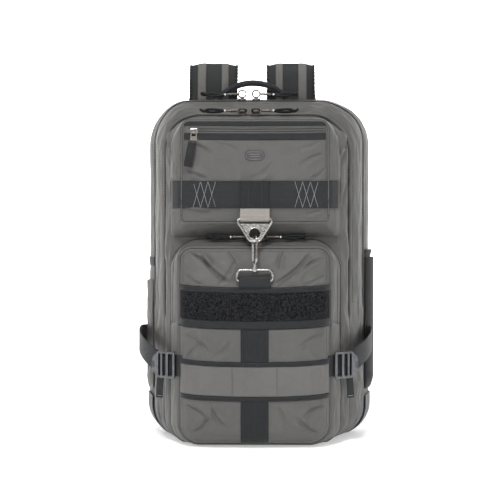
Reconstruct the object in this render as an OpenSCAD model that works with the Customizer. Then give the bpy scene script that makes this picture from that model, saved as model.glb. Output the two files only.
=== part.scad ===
/* [Body] */
// Width of the pack across its widest seam
body_w = 318; // [314:1:322]
// Height of the top seam above the ground
body_h = 484; // [482:1:488]
// Height at which the zipped front half folds away from the sewn base
fold_z = 163; // [162:0.5:164]
// Thickness of the padded walls
wall = 3; // [2.6:0.1:3.4]
// Thickness of the unpadded pocket cloth
cloth = 1.6; // [1.4:0.1:1.8]

/* [Webbing] */
// Width of the wide front webbing
web_w = 38; // [36:1:40]
// Thickness of the webbing
web_t = 1.5; // [1.2:0.1:1.6]
// Width of the side compression webbing
side_web_w = 30; // [28:1:30]
// Width of the lower shoulder webbing
shoulder_web_w = 25; // [22:1:25]

/* [Straps and handle] */
// Width of the padded shoulder straps
strap_w = 70; // [64:1:72]
// Thickness of the padded shoulder straps
strap_t = 8; // [7:0.5:8]
// Distance from the middle of the pack to each shoulder strap
strap_x = 57; // [55:1:60]
// Half the span of the haul handle
handle_half = 58; // [54:1:60]
// Rise of the haul handle above its feet
handle_rise = 32; // [30:1:34]

/* [Hardware] */
// Radius of the bars that carry webbing
bar_r = 1.9; // [1.7:0.1:2]
// Running clearance between a bar and what turns on it
bar_gap = 0.25; // [0.2:0.05:0.3]
// Length of the metal part of the snap hook
hook_len = 37; // [36:0.5:38]

/* [Hidden] */
$fn = 40;

nylon = "#6f6e6c";
webbing = "#3a3c40";
lining = "#4a4c50";
steel = "#b9b4ac";
gap = 0.3;
arc_steps = 6;
slice = 0.02;
half = body_w / 2;

// Planes from the back of the pack to its front
back_y = 65;
back_inner_y = 60;
main_zip_y = 15;
divider_y = -20;
second_zip_y = -42;
front_y = -65;
pocket_y = front_y - gap;
lower_zip_y = -80;
lower_zip_z = 279.2;
zip_half = 4;

// How far the two long zips lie below the top seam
main_drop = 2;
second_drop = 26;

// Cross-sections: y, half width, lowest z, highest z, top corner radius, bottom corner radius
BODY = [
  [back_y, half - 11, 10, body_h - 14, 58, 40],
  [45, half, 0, body_h, 66, 45],
  [main_zip_y, half - 9, 0, body_h - main_drop, 60, 40],
  [second_zip_y, half - 29, 0, body_h - second_drop, 52, 34],
  [front_y, half - 41, 0, body_h - 36, 46, 30]
];
UPPER = [
  [pocket_y, 117, 288, 449, 40, 6],
  [-90, 101, 309, 448, 12, 6],
  [-93, 70, 340, 415, 20, 20]
];
LOWER = [
  [pocket_y, 117, 0, 283, 43, 30],
  [-100, 104, 4, 274, 17, 28],
  [-116, 96, 8, 232, 22, 26],
  [-125, 74, 18, 200, 26, 24]
];

function arc(cx, cz, r, from) =
  [for (i = [0 : arc_steps]) let (a = from + 90 * i / arc_steps) [cx + r * cos(a), cz + r * sin(a)]];

function outline(hw, z0, z1, rt, rb) = concat(
  arc(hw - rb, z0 + rb, rb, 270),
  arc(hw - rt, z1 - rt, rt, 0),
  arc(-hw + rt, z1 - rt, rt, 90),
  arc(-hw + rb, z0 + rb, rb, 180)
);

module block(x0, x1, y0, y1, z0, z1) {
  translate([x0, y0, z0]) cube([x1 - x0, y1 - y0, z1 - z0]);
}

module plate(y0, y1, points) {
  translate([0, y1, 0]) rotate([90, 0, 0]) linear_extrude(y1 - y0) polygon(points);
}

// A smooth solid through a list of cross-sections, grown by g, its rear face moved by back
module form(sections, g, back) {
  last = len(sections) - 1;
  hull()
    for (i = [0 : last])
      let (s = sections[i], y = s[0] + (i == 0 ? back : i == last ? -g : 0))
        plate(y - slice, y, outline(s[1] + g, s[2] - g, s[3] + g, s[4] + g, s[5] + g));
}

module skin(sections, inner, outer, back_inner, back_outer) {
  difference() {
    form(sections, outer, back_outer);
    form(sections, inner, back_inner);
  }
}

// The padded wall of the body between two planes and two heights
module body_wall(y0, y1, z0, z1) {
  intersection() {
    skin(BODY, -wall, 0, -wall, 0);
    block(-half - 1, half + 1, y0, y1, z0, z1);
  }
}

// What lies inside the body's wall between two planes and two heights
module body_inside(y0, y1, z0, z1) {
  intersection() {
    form(BODY, -wall - gap, -wall - gap);
    block(-half - 1, half + 1, y0, y1, z0, z1);
  }
}

// Zip tape and coil set flush in a slot of the body's wall
module body_zip(y0, y1) {
  intersection() {
    skin(BODY, -2.4, -0.6, -2.4, -0.6);
    block(-half - 1, half + 1, y0, y1, fold_z + gap, body_h + 1);
  }
}

module both_sides() {
  children();
  mirror([1, 0, 0]) children();
}

// ---- Fixed rear of the pack ----

module back_panel() color(lining)
  intersection() {
    form(BODY, 0, 0);
    block(-half - 1, half + 1, back_inner_y, back_y + 1, -1, body_h + 1);
  }

module rear_gusset() color(nylon)
  body_wall(main_zip_y + zip_half, back_inner_y - 0.1, fold_z, body_h + 1);

module base_tub() color(nylon)
  body_wall(front_y - 1, back_inner_y - 0.1, -1, fold_z - 0.1);

module lower_divider() color(lining)
  body_inside(divider_y - 1.5, divider_y + 1.5, 0, fold_z - gap);

module laptop_sleeve() color(lining)
  plate(38, 42, outline(128, 6, 345, 20, 20));

module frame_sheet() color("#d8d8d4")
  plate(56.5, 58, outline(130, 16, 450, 50, 36));

module back_pad(x0, x1, z0, z1) {
  cx = (x0 + x1) / 2;
  hw = (x1 - x0) / 2;
  translate([cx, 0, 0]) hull() {
    plate(back_y + 0.2, back_y + 4, outline(hw, z0, z1, 16, 16));
    plate(back_y + 4, back_y + 11, outline(hw - 7, z0 + 7, z1 - 7, 10, 10));
  }
}

module back_pads() color(webbing) {
  back_pad(20, 118, 148, 392);
  back_pad(-118, -20, 148, 392);
  back_pad(-118, 118, 42, 134);
}

HANDLE_AXIS = [62, 478];
handle_r = 4.6;

// Yoke over the strap ends, with the two sewn feet of the haul handle
module strap_yoke() color(webbing) {
  plate(back_y + 0.2, back_y + 2.6, outline(104, 402, 458, 12, 8));
  both_sides()
    difference() {
      block(handle_half - 6, handle_half + 6, HANDLE_AXIS[0] - 4, HANDLE_AXIS[0] + 4, 468, HANDLE_AXIS[1] - 3.6);
      translate([handle_half, HANDLE_AXIS[0], HANDLE_AXIS[1]]) sphere(handle_r + gap);
      form(BODY, 0.1, 0.1);
    }
}

// ---- Shoulder straps ----

// Middle line of the right shoulder strap: sewn under the yoke, over the top, down behind the back
STRAP = [
  [strap_x, 72.2, 424], [strap_x, 73.6, 450], [strap_x, 74.8, 480], [strap_x, 76, 505],
  [strap_x, 79.5, 522], [strap_x + 1, 87, 533], [strap_x + 1, 98, 538], [strap_x + 2, 109, 533],
  [strap_x + 3, 116, 520], [strap_x + 5, 120, 500], [strap_x + 9, 122.4, 460], [strap_x + 15, 123, 410],
  [strap_x + 22, 123, 360], [strap_x + 30, 122, 310], [strap_x + 37, 119, 260], [strap_x + 42, 114, 215]
];
LOCK_TOP = [strap_x + 44, 110, 196];
// Middle line of the right lower webbing: from the lock's bar to the wing at the side seam
SHOULDER_WEB = [
  [strap_x + 45, 109, 160], [strap_x + 49, 105, 138], [strap_x + 57, 96, 110], [strap_x + 67, 83, 82],
  [strap_x + 74, 70.4, 60]
];

// A flat strap of width w and thickness t swept along points that run in planes near the YZ plane
module ribbon(points, w, t) {
  n = len(points);
  function along(i) = points[min(i + 1, n - 1)] - points[max(i - 1, 0)];
  function across(i) = let (d = along(i), s = norm([d[1], d[2]])) [0, -d[2] / s, d[1] / s];
  swept([
    for (i = [0 : n - 1])
      for (c = [[-1, -1], [1, -1], [1, 1], [-1, 1]])
        points[i] + [c[0] * w / 2, 0, 0] + across(i) * c[1] * t / 2
  ], n);
}

module shoulder_pad() color(webbing) {
  ribbon(STRAP, strap_w, strap_t);
  // Sewn loop of webbing round the lock's top bar
  translate(LOCK_TOP) rotate([0, 90, 0])
    difference() {
      cylinder(h = shoulder_web_w, r = bar_r + bar_gap + web_t, center = true);
      cylinder(h = shoulder_web_w + 1, r = bar_r + bar_gap, center = true);
    }
  translate(LOCK_TOP + [-shoulder_web_w / 2, 0.2, bar_r + bar_gap + 0.9])
    rotate([-14, 0, 0]) cube([shoulder_web_w, 1.6, 16]);
}

module shoulder_pad_right() shoulder_pad();
module shoulder_pad_left() mirror([1, 0, 0]) shoulder_pad();

module shoulder_webs() color(webbing)
  both_sides() ribbon(SHOULDER_WEB, shoulder_web_w, web_t);

module strap_anchors() color(nylon)
  both_sides()
    plate(back_y + 0.2, back_y + 3.2, [[119, 38], [138, 52], [142, 96], [119, 62]]);

// ---- Side pockets and trim on the fixed rear ----

// Flat pocket on the pack's side; open at its top edge
module flat_pocket(z0, z1, bulge) {
  difference() {
    hull() {
      block(half - 12, half - 11, 20.5, 58.5, z0, z1);
      block(half + bulge - 1, half + bulge, 27, 52, z0 + 8, z1);
    }
    hull() {
      block(half - 13, half - 12, 20.5 + cloth, 58.5 - cloth, z0 + cloth, z1 + 1);
      block(half + bulge - 1 - cloth, half + bulge - cloth, 27.5, 51.5, z0 + 9, z1 + 1);
    }
    form(BODY, gap, gap);
  }
}

module mesh_pocket() color("#232427") {
  flat_pocket(66, 254.8, 7);
  difference() {
    hull() {
      block(half - 12, half - 11, 20.5, 58.5, 255, 267);
      block(half + 5.5, half + 6.5, 26, 53, 255, 267);
    }
    hull() {
      block(half - 13, half - 12, 22.1, 56.9, 254, 268);
      block(half + 3.5, half + 4.5, 27.5, 51.5, 254, 268);
    }
    form(BODY, gap, gap);
  }
}

module side_pocket() color(nylon)
  mirror([1, 0, 0]) flat_pocket(66, 222, 7);

module side_tab() color(webbing)
  difference() {
    block(-half - 3.2, -half + 3, 24, 50, 243, 257);
    form(BODY, gap, gap);
  }

module corner_patches() color("#4b4f56")
  intersection() {
    skin(BODY, 0.1, 1.2, 0.1, -1);
    union() {
      block(half - 50, half + 9, 18, 59, 4, 64);
      block(-half - 9, -half + 50, 18, 59, 4, 64);
    }
  }

// ---- Compression straps ----

LOCK_BAR = [112, -98];
LOCK_TURN = 39;
side_web_z = 96;
// Lower edge of the right strap, from the lock's far bar round and up to the back
WRAP = [
  [130, -79.5, 96], [143, -67, 104], [156, -44, 113], [164, -18, 120], [167, 6, 124],
  [167.2, 26, 126], [167.2, 51, 126], [163.5, 59, 126], [153, 64.6, 126]
];

// The solid that four corners make as they run along a path; corners[i] holds those at point i
module swept(corners, n) {
  sides = [
    for (i = [0 : n - 2])
      for (j = [0 : 3])
        for (f = [[i * 4 + j, i * 4 + (j + 1) % 4, (i + 1) * 4 + j],
                  [i * 4 + (j + 1) % 4, (i + 1) * 4 + (j + 1) % 4, (i + 1) * 4 + j]]) f
  ];
  ends = [[0, 3, 2, 1], [4 * n - 4, 4 * n - 3, 4 * n - 2, 4 * n - 1]];
  polyhedron(corners, concat(sides, ends), convexity = 6);
}

// A standing band of height h and thickness t whose lower edge follows points
module band(points, h, t) {
  n = len(points);
  function along(i) = points[min(i + 1, n - 1)] - points[max(i - 1, 0)];
  function across(i) = let (d = along(i)) [-d[1], d[0], 0] / norm([d[0], d[1]]) * t / 2;
  swept([
    for (i = [0 : n - 1])
      for (c = [[1, 0], [-1, 0], [-1, 1], [1, 1]]) points[i] + c[0] * across(i) + [0, 0, c[1] * h]
  ], n);
}

module compression_web() {
  loop_r = bar_r + bar_gap + web_t;
  // Sewn loop round the lock's first bar, and its tail into the pocket's seam
  translate([LOCK_BAR[0], LOCK_BAR[1], side_web_z])
    difference() {
      union() {
        cylinder(h = side_web_w, r = loop_r);
        rotate([0, 0, 180 + LOCK_TURN]) translate([0, -loop_r, 0]) cube([10, web_t * 1.6, side_web_w]);
      }
      translate([0, 0, -1]) cylinder(h = side_web_w + 2, r = bar_r + bar_gap);
    }
  band(WRAP, side_web_w, web_t);
}

module compression_webs() color(webbing)
  difference() {
    both_sides() compression_web();
    form(LOWER, 0.1, 0);
    form(BODY, 0.1, 0.1);
  }

// ---- Lower front pocket: the part sewn to the base ----

module base_pocket() color(nylon)
  intersection() {
    skin(LOWER, -cloth, 0, 1, 0);
    block(-half, half, -140, pocket_y, -1, fold_z - 0.1);
  }

module front_trim(x, z0, z1, inner, outer) {
  intersection() {
    skin(LOWER, inner, outer, -8, -8);
    block(-x, x, -140, -99, z0, z1);
  }
}

module base_tape() color("#7b7b79")
  front_trim(101, 71.2, 111.8, 0.2, 1.6);

module base_strips() color(webbing) {
  front_trim(101, 112, 118.5, 0.2, 2);
  front_trim(101, 64.5, 71, 0.2, 2);
  front_trim(web_w / 2, 118.7, fold_z - 0.4, 0.2, 1.6);
  front_trim(web_w / 2, 14, 64.3, 0.2, 1.6);
}

// ---- Middle section: between the main zip and the second zip ----

module mid_gusset() color(nylon)
  body_wall(second_zip_y + zip_half, main_zip_y - zip_half, fold_z + gap, body_h + 1);

module mid_divider() color(lining)
  body_inside(divider_y - 1.5, divider_y + 1.5, fold_z + gap, body_h);

module organizer() color(lining) {
  plate(divider_y - 6, divider_y - 4.5, outline(96, 175, 300, 6, 6));
  for (x = [-60, -20, 20, 60])
    block(x - 1, x + 1, divider_y - 4.4, divider_y - 1.7, 180, 296);
  plate(divider_y - 4, divider_y - 1.8, outline(70, 312, 372, 6, 6));
}

module mid_zip_halves() color(webbing) {
  body_zip(main_zip_y - zip_half + 0.1, main_zip_y - gap / 2);
  body_zip(second_zip_y + gap / 2, second_zip_y + zip_half - 0.1);
}

module main_zip_rear() color(webbing)
  body_zip(main_zip_y + gap / 2, main_zip_y + zip_half - 0.1);

// ---- Front section ----

module front_cover() color(nylon)
  body_wall(front_y - 1, second_zip_y - zip_half, fold_z + gap, body_h + 1);

module second_zip_front() color(webbing)
  body_zip(second_zip_y - zip_half + 0.1, second_zip_y - gap / 2);

ZIP_Z = 434;

module upper_pocket() color(nylon)
  difference() {
    skin(UPPER, -cloth, 0, 1, 0);
    block(-92, 92, -120, -70, ZIP_Z - 3.6, ZIP_Z + 3.6);
  }

module upper_zip() color(webbing) {
  intersection() {
    skin(UPPER, -1.4, 0.8, -8, -8);
    block(-91.8, 91.8, -120, -80, ZIP_Z - 3.4, ZIP_Z + 3.4);
  }
  for (z = [[ZIP_Z + 4, ZIP_Z + 9.4], [ZIP_Z - 11.5, ZIP_Z - 4]])
    intersection() {
      skin(UPPER, 0.2, 1, -8, -8);
      block(-98, 98, -120, -88, z[0], z[1]);
    }
}

module badge() color("#4d4a47")
  plate(-94.4, -93.2, outline(13.5, 393, 407, 6, 6));

band_z = 327.5;

module web_band() color(webbing) {
  intersection() {
    skin(UPPER, 0.2, 1.7, -6, -6);
    block(-120, 120, -120, -71.5, band_z, band_z + web_w);
  }
  intersection() {
    skin(UPPER, 1.9, 3.2, -6, -6);
    block(-22, 22, -120, -90, band_z, band_z + web_w);
  }
}

// ---- Ring, snap hook and their loops ----

RING_BAR = [-101.6, 313];
ring_lean = -18;
HOOK_TILT = 14;
hole_r = 8.2;
hole_drop = 21;
plate_drop = 34;
ring_plate_t = 2.2;
ring_half = 24.5;
rim_drop = (hole_drop + hole_r + plate_drop) / 2;
// Middle of the plate's lower rim, where the hook carries it
RIM = [RING_BAR[0] + rim_drop * sin(ring_lean), RING_BAR[1] - rim_drop * cos(ring_lean)];
BASE_BAR = [RIM[0] - 55.4 * sin(HOOK_TILT), RIM[1] - 55.4 * cos(HOOK_TILT)];

module ring_loop() color("#a9a198") {
  r = bar_r + bar_gap;
  translate([-web_w / 2, 0, 0]) rotate([90, 0, 90]) linear_extrude(web_w) {
    difference() {
      translate(RING_BAR) circle(r + web_t);
      translate(RING_BAR) circle(r);
      translate(RING_BAR + [-r, 0]) square([2 * r, 9]);
    }
    difference() {
      polygon([
        [RING_BAR[0] - r - web_t, RING_BAR[1]], [RING_BAR[0] + r + web_t, RING_BAR[1]],
        [-92.8, band_z - 0.3], [-95.8, band_z - 0.3]
      ]);
      polygon([
        [RING_BAR[0] - r, RING_BAR[1] - 1], [RING_BAR[0] + r, RING_BAR[1] - 1],
        [RING_BAR[0] + r, RING_BAR[1] + 1], [-95.6, band_z - 4], [RING_BAR[0] - r, RING_BAR[1] + 1]
      ]);
    }
  }
}

// Flat triangular plate that hangs from a round bar and has a round eye for the hook
module triangle_ring() color(steel)
  translate([0, RING_BAR[0], RING_BAR[1]]) rotate([ring_lean, 0, 0]) {
    difference() {
      plate(-ring_plate_t / 2, ring_plate_t / 2, [
        [-ring_half, -7.4], [-ring_half + 2, -9], [-8, -plate_drop + 4], [-4, -plate_drop],
        [4, -plate_drop], [8, -plate_drop + 4], [ring_half - 2, -9], [ring_half, -7.4]
      ]);
      translate([0, 5, -hole_drop]) rotate([90, 0, 0]) cylinder(h = 10, r = hole_r);
    }
    for (side = [-1, 1])
      translate([side * (ring_half - bar_r), 0, 0]) {
        translate([0, 0, -8]) cylinder(h = 8, r = bar_r);
        sphere(bar_r);
      }
    translate([-ring_half + bar_r, 0, 0]) rotate([0, 90, 0])
      cylinder(h = 2 * (ring_half - bar_r), r = bar_r);
  }

base_half = 24;
base_h = 15;

// Rectangular loop with the swivel's socket on its top bar
module hook_base() color(steel)
  translate([0, BASE_BAR[0], BASE_BAR[1]]) rotate([-HOOK_TILT, 0, 0]) {
    for (side = [-1, 1]) {
      translate([side * base_half, 0, 0]) cylinder(h = base_h, r = bar_r);
      translate([side * base_half, 0, 0]) sphere(bar_r);
      translate([side * base_half, 0, base_h]) sphere(bar_r);
    }
    for (z = [0, base_h])
      translate([-base_half, 0, z]) rotate([0, 90, 0]) cylinder(h = 2 * base_half, r = bar_r);
    difference() {
      translate([0, 0, base_h - 3.2]) cylinder(h = 8.3, r = 3.4);
      translate([0, 0, base_h + 0.6]) cylinder(h = 5, r = 1.75);
    }
  }

hook_wire = 1.7;
hook_in = 5.2;
hook_turn = 22;
hook_bottom = -hook_len + 5;

module at_hook()
  translate([0, RIM[0], RIM[1]]) rotate([-HOOK_TILT, 0, 0]) rotate([0, 0, hook_turn]) children();

// Spring-gate hook: spine at the rear, nose at the front, swivel button below
module snap_hook() color(steel)
  at_hook() {
    c = hook_in + hook_wire;
    translate([0, c, hook_bottom + c]) cylinder(h = -hook_bottom - c, r = hook_wire);
    rotate([90, 0, 90]) rotate_extrude(angle = 180) translate([c, 0]) circle(hook_wire);
    translate([0, -c, -3]) cylinder(h = 3, r = hook_wire);
    translate([0, 0, hook_bottom + c]) rotate([90, 0, 90]) rotate([0, 0, 180])
      rotate_extrude(angle = 180) translate([c, 0]) circle(hook_wire);
    translate([0, 0, hook_bottom - 3]) cylinder(h = 3.6, r = 2.4);
    translate([0, 0, hook_bottom - 6]) cylinder(h = 4, r = 1.5);
  }

gate_r = 1.4;
gate_z = hook_bottom + hook_in + hook_wire + gap + gate_r;

// Sprung gate with a rounded foot that turns on the hook's lower end
module hook_gate() color("#8f8b84")
  at_hook()
    translate([0, -hook_in - hook_wire, gate_z]) {
      sphere(gate_r);
      cylinder(h = -gate_z - 3 - gap, r = gate_r);
    }

module hook_web() color(webbing) {
  r = bar_r + bar_gap;
  translate([-19.5, 0, 0]) rotate([90, 0, 90]) linear_extrude(39) {
    difference() {
      translate(BASE_BAR) circle(r + web_t);
      translate(BASE_BAR) circle(r);
    }
    difference() {
      polygon([
        BASE_BAR + [-r - web_t, 0], BASE_BAR + [r + web_t, 0],
        [-121.6, 220.4], [-125.2, 220.4]
      ]);
      translate(BASE_BAR) circle(r);
      translate(BASE_BAR + [-r, -3.4]) square([2 * r, 4]);
    }
  }
}

module lower_pocket() color(nylon)
  difference() {
    intersection() {
      skin(LOWER, -cloth, 0, 1, 0);
      block(-half, half, -140, pocket_y, fold_z + gap, 300);
    }
    block(-half, half, lower_zip_y - zip_half, lower_zip_y + zip_half, 0, 300);
  }

module lower_zip() color(webbing)
  intersection() {
    skin(LOWER, -1.8, -0.4, 2, 1);
    block(-half, half, lower_zip_y - zip_half + 0.2, lower_zip_y + zip_half - 0.2, fold_z + gap, 300);
  }

module velcro_panel() color("#1b1b1d")
  front_trim(101, 174.2, 211.8, 0.2, 2.2);

module velcro_strips() color(webbing) {
  front_trim(101, fold_z + 0.4, 174, 0.2, 1.6);
  front_trim(103, 212, 220, 0.2, 1.6);
}

// ---- Haul handle ----

module haul_handle() color(webbing) {
  radius = (handle_half * handle_half + handle_rise * handle_rise) / (2 * handle_rise);
  span = asin(handle_half / radius);
  translate([0, HANDLE_AXIS[0], HANDLE_AXIS[1] + handle_rise - radius])
    rotate([90, 0, 0]) rotate([0, 0, 90 - span])
      rotate_extrude(angle = 2 * span) translate([radius, 0]) circle(handle_r);
  both_sides() translate([handle_half, HANDLE_AXIS[0], HANDLE_AXIS[1]]) sphere(handle_r - 0.1);
}

// ---- Ladder locks ----

// Frame of a ladder lock in its own plane: x along the webbing from the pivot bar, z across it
module ladder_lock(width, length) {
  inner = width / 2;
  cylinder(h = width, r = bar_r, center = true);
  for (side = [-1, 1])
    translate([length * 0.34, 0, side * (inner + 1.6)])
      cube([length * 0.68 + 2 * bar_r, 3.2, 3.2], center = true);
  for (x = [0.3, 0.56])
    translate([length * x, -0.4, 0]) cube([length * 0.1, 2.4, width], center = true);
  translate([length * 0.68 + bar_r - 0.1, 0, 0])
    rotate([90, 0, 0]) linear_extrude(3.2, center = true)
      polygon([[0, -inner - 3.2], [length * 0.1, -inner - 2], [length * 0.26, -inner * 0.45],
               [length * 0.26, inner * 0.45], [length * 0.1, inner + 2], [0, inner + 3.2]]);
}

module compression_lock() color("#6d7074")
  translate([LOCK_BAR[0], LOCK_BAR[1], side_web_z + side_web_w / 2])
    rotate([0, 0, LOCK_TURN]) ladder_lock(side_web_w + 1, 40);

module ladder_lock_right() compression_lock();
module ladder_lock_left() mirror([1, 0, 0]) compression_lock();

module strap_lock() color("#2a2b2e")
  translate(LOCK_TOP) rotate([0, 90, 0]) rotate([180, 0, 0])
    ladder_lock(shoulder_web_w + 1, 34);

module strap_lock_right() strap_lock();
module strap_lock_left() mirror([1, 0, 0]) strap_lock();

// ---- Zip sliders and pulls ----

slider_len = 12;
ring_r = 5.4;
ring_wire = 0.8;
ring_up = 3.5;

// Slider body with a bridge for the pull's ring
module slider() color(steel) {
  translate([-slider_len / 2, -3.8, 0]) cube([slider_len, 7.6, 2]);
  difference() {
    translate([-1.6, -3.2, 1.9]) cube([3.2, 6.4, 4.2]);
    translate([-2, -1.8, 2]) cube([4, 3.6, 3]);
  }
}

// Ring through the slider's bridge, metal link, and webbing tail lying along -x
module pull(tip = 0) color("#26272a")
  translate([0, 0, ring_up]) rotate([tip, 0, 0]) translate([0, 0, ring_r]) {
    rotate([90, 0, 0]) rotate_extrude() translate([ring_r, 0]) circle(ring_wire, $fn = 20);
    translate([-ring_r - 17.3, -2.4, -1]) cube([17, 4.8, 2]);
    translate([-ring_r - 21.5, -3.6, -2]) cube([4.2, 7.2, 4]);
    translate([-ring_r - 53.5, -3, -1.6]) cube([32, 6, 3.2]);
  }

function on_top(y, z, lean) = [y - 0.5 * sin(lean), z + 0.5 * cos(lean)];

module top_zip(x, y, z, lean) {
  p = on_top(y, z, lean);
  translate([x, p[0], p[1]]) rotate([lean, 0, 0]) children();
}

main_lean = 14;
second_lean = 23;
lower_lean = 14.5;
// How far forward the pulls of the second zip lie over
second_tip = 40;
main_x = [-19, 1];
second_x = [-18, 1];
lower_x = [-9, 11];

module at_main(x) top_zip(x, main_zip_y, body_h - main_drop, main_lean) children();
module at_second(x) top_zip(x, second_zip_y, body_h - second_drop, second_lean) children();
module at_lower(x) top_zip(x, lower_zip_y, lower_zip_z, lower_lean) children();

module main_slider_left() at_main(main_x[0]) slider();
module main_slider_right() at_main(main_x[1]) slider();
module main_pull_left() at_main(main_x[0]) pull();
module main_pull_right() at_main(main_x[1]) mirror([1, 0, 0]) pull();
module second_slider_left() at_second(second_x[0]) slider();
module second_slider_right() at_second(second_x[1]) slider();
module second_pull_left() at_second(second_x[0]) pull(second_tip);
module second_pull_right() at_second(second_x[1]) mirror([1, 0, 0]) pull(second_tip);
module lower_slider_left() at_lower(lower_x[0]) slider();
module lower_slider_right() at_lower(lower_x[1]) slider();
module lower_pull_left() at_lower(lower_x[0]) pull();
module lower_pull_right() at_lower(lower_x[1]) mirror([1, 0, 0]) pull();

upper_slider_x = -84;
UPPER_PIVOT = [-96.5, ZIP_Z - 1.5];

module upper_slider() color(steel) {
  block(upper_slider_x - 6, upper_slider_x + 6, -94.5, -92.5, ZIP_Z - 3.8, ZIP_Z + 3.8);
  difference() {
    block(upper_slider_x - 2.4, upper_slider_x + 2.4, -98.8, -94.4, ZIP_Z - 3.6, ZIP_Z + 3.6);
    block(upper_slider_x - 3, upper_slider_x + 3, -97.7, -94.5, ZIP_Z - 3, ZIP_Z + 2.4);
  }
}

// Metal link that hangs from the slider, with a crimp and a webbing tab
module upper_pull() color("#26272a")
  translate([upper_slider_x, UPPER_PIVOT[0], UPPER_PIVOT[1]]) {
    translate([-4, 0, 0]) rotate([0, 90, 0]) cylinder(h = 8, r = 0.8);
    for (side = [-1, 1])
      translate([side * 3.9, 0, 0]) rotate([0, 90, 0]) {
        cylinder(h = 1.6, r = 1.2, center = true);
        translate([3, 0, 0]) cube([6, 2, 1.6], center = true);
      }
    translate([0, 0, -9]) cube([9.4, 2, 7], center = true);
    translate([0, -0.3, -14.6]) cube([11, 3.2, 4.2], center = true);
    translate([0, -0.3, -32.6]) cube([9, 2.6, 31.9], center = true);
  }

back_panel();
rear_gusset();
base_tub();
lower_divider();
laptop_sleeve();
frame_sheet();
back_pads();
strap_yoke();
shoulder_pad_left();
shoulder_pad_right();
shoulder_webs();
strap_anchors();
main_zip_rear();
mesh_pocket();
side_pocket();
side_tab();
corner_patches();
compression_webs();
base_pocket();
base_tape();
base_strips();
mid_gusset();
mid_divider();
organizer();
mid_zip_halves();
front_cover();
second_zip_front();
upper_pocket();
upper_zip();
badge();
web_band();
ring_loop();
lower_pocket();
lower_zip();
velcro_panel();
velcro_strips();
hook_web();
haul_handle();
strap_lock_left();
strap_lock_right();
ladder_lock_left();
ladder_lock_right();
triangle_ring();
hook_base();
snap_hook();
hook_gate();
main_slider_left();
main_slider_right();
main_pull_left();
main_pull_right();
second_slider_left();
second_slider_right();
second_pull_left();
second_pull_right();
lower_slider_left();
lower_slider_right();
lower_pull_left();
lower_pull_right();
upper_slider();
upper_pull();
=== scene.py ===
import math
import random

import bmesh
import bpy
import numpy as np
from mathutils import Matrix, Vector, noise


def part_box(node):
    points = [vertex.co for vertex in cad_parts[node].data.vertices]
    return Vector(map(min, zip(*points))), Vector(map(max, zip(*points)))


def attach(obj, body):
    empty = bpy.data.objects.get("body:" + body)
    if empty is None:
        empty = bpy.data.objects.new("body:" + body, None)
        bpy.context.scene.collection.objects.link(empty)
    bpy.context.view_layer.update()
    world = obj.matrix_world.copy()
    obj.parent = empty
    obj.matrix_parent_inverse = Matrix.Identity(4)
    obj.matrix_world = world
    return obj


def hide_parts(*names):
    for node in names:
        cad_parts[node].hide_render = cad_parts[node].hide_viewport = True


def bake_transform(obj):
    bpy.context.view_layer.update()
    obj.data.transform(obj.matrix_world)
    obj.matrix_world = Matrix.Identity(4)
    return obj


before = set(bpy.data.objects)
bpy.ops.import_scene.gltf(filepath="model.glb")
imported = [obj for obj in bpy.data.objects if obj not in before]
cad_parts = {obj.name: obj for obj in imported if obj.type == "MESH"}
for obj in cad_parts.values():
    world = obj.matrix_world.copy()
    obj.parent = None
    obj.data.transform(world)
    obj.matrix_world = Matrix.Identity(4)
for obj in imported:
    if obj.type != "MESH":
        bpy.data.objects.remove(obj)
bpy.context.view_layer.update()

MM = 0.001
rng = random.Random(7)

# ---------------------------------------------------------------------------
# Sizes in millimetres, in the frame of the CAD model
# ---------------------------------------------------------------------------

FOLD_Z = 163.0
SIDE_LEAN = 5.0
STRAP_SHIFT = 5.5
MAIN_ZIP_Y = 15.0
SECOND_ZIP_Y = -42.0
FRONT_Y = -65.0
ZIP_END_Z = 184.0
HALF_W = (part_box("base_tub")[1].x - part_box("base_tub")[0].x) / 2 / MM
TOP_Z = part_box("rear_gusset")[1].z / MM

# Cross-sections of the body: y, half width, lowest z, highest z, top and bottom corner radius
BODY = [
    (62.0, HALF_W - 9.5, 8.5, TOP_Z - 12, 59, 41),
    (45.0, HALF_W, 0.0, TOP_Z, 66, 45),
    (MAIN_ZIP_Y, HALF_W - 9, 0.0, TOP_Z - 2, 60, 40),
    (SECOND_ZIP_Y, HALF_W - 29, 0.0, TOP_Z - 26, 52, 34),
    (FRONT_Y, HALF_W - 41, 0.0, TOP_Z - 36, 46, 30),
]


def blend_value(a, b, t):
    return a + (b - a) * t


def smooth(edge0, edge1, v):
    t = np.clip((v - edge0) / (edge1 - edge0), 0.0, 1.0)
    return t * t * (3 - 2 * t)


def body_section(y):
    """The body's outline sizes at depth y."""
    for a, b in zip(BODY, BODY[1:]):
        if a[0] >= y >= b[0]:
            t = (a[0] - y) / (a[0] - b[0])
            return tuple(blend_value(a[i], b[i], t) for i in range(1, 6))
    return BODY[0][1:] if y > BODY[0][0] else BODY[-1][1:]


# Number of steps along half the base, a lower corner, a side, an upper corner and half the top
LOOP_STEPS = (26, 18, 110, 26, 26)


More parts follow.
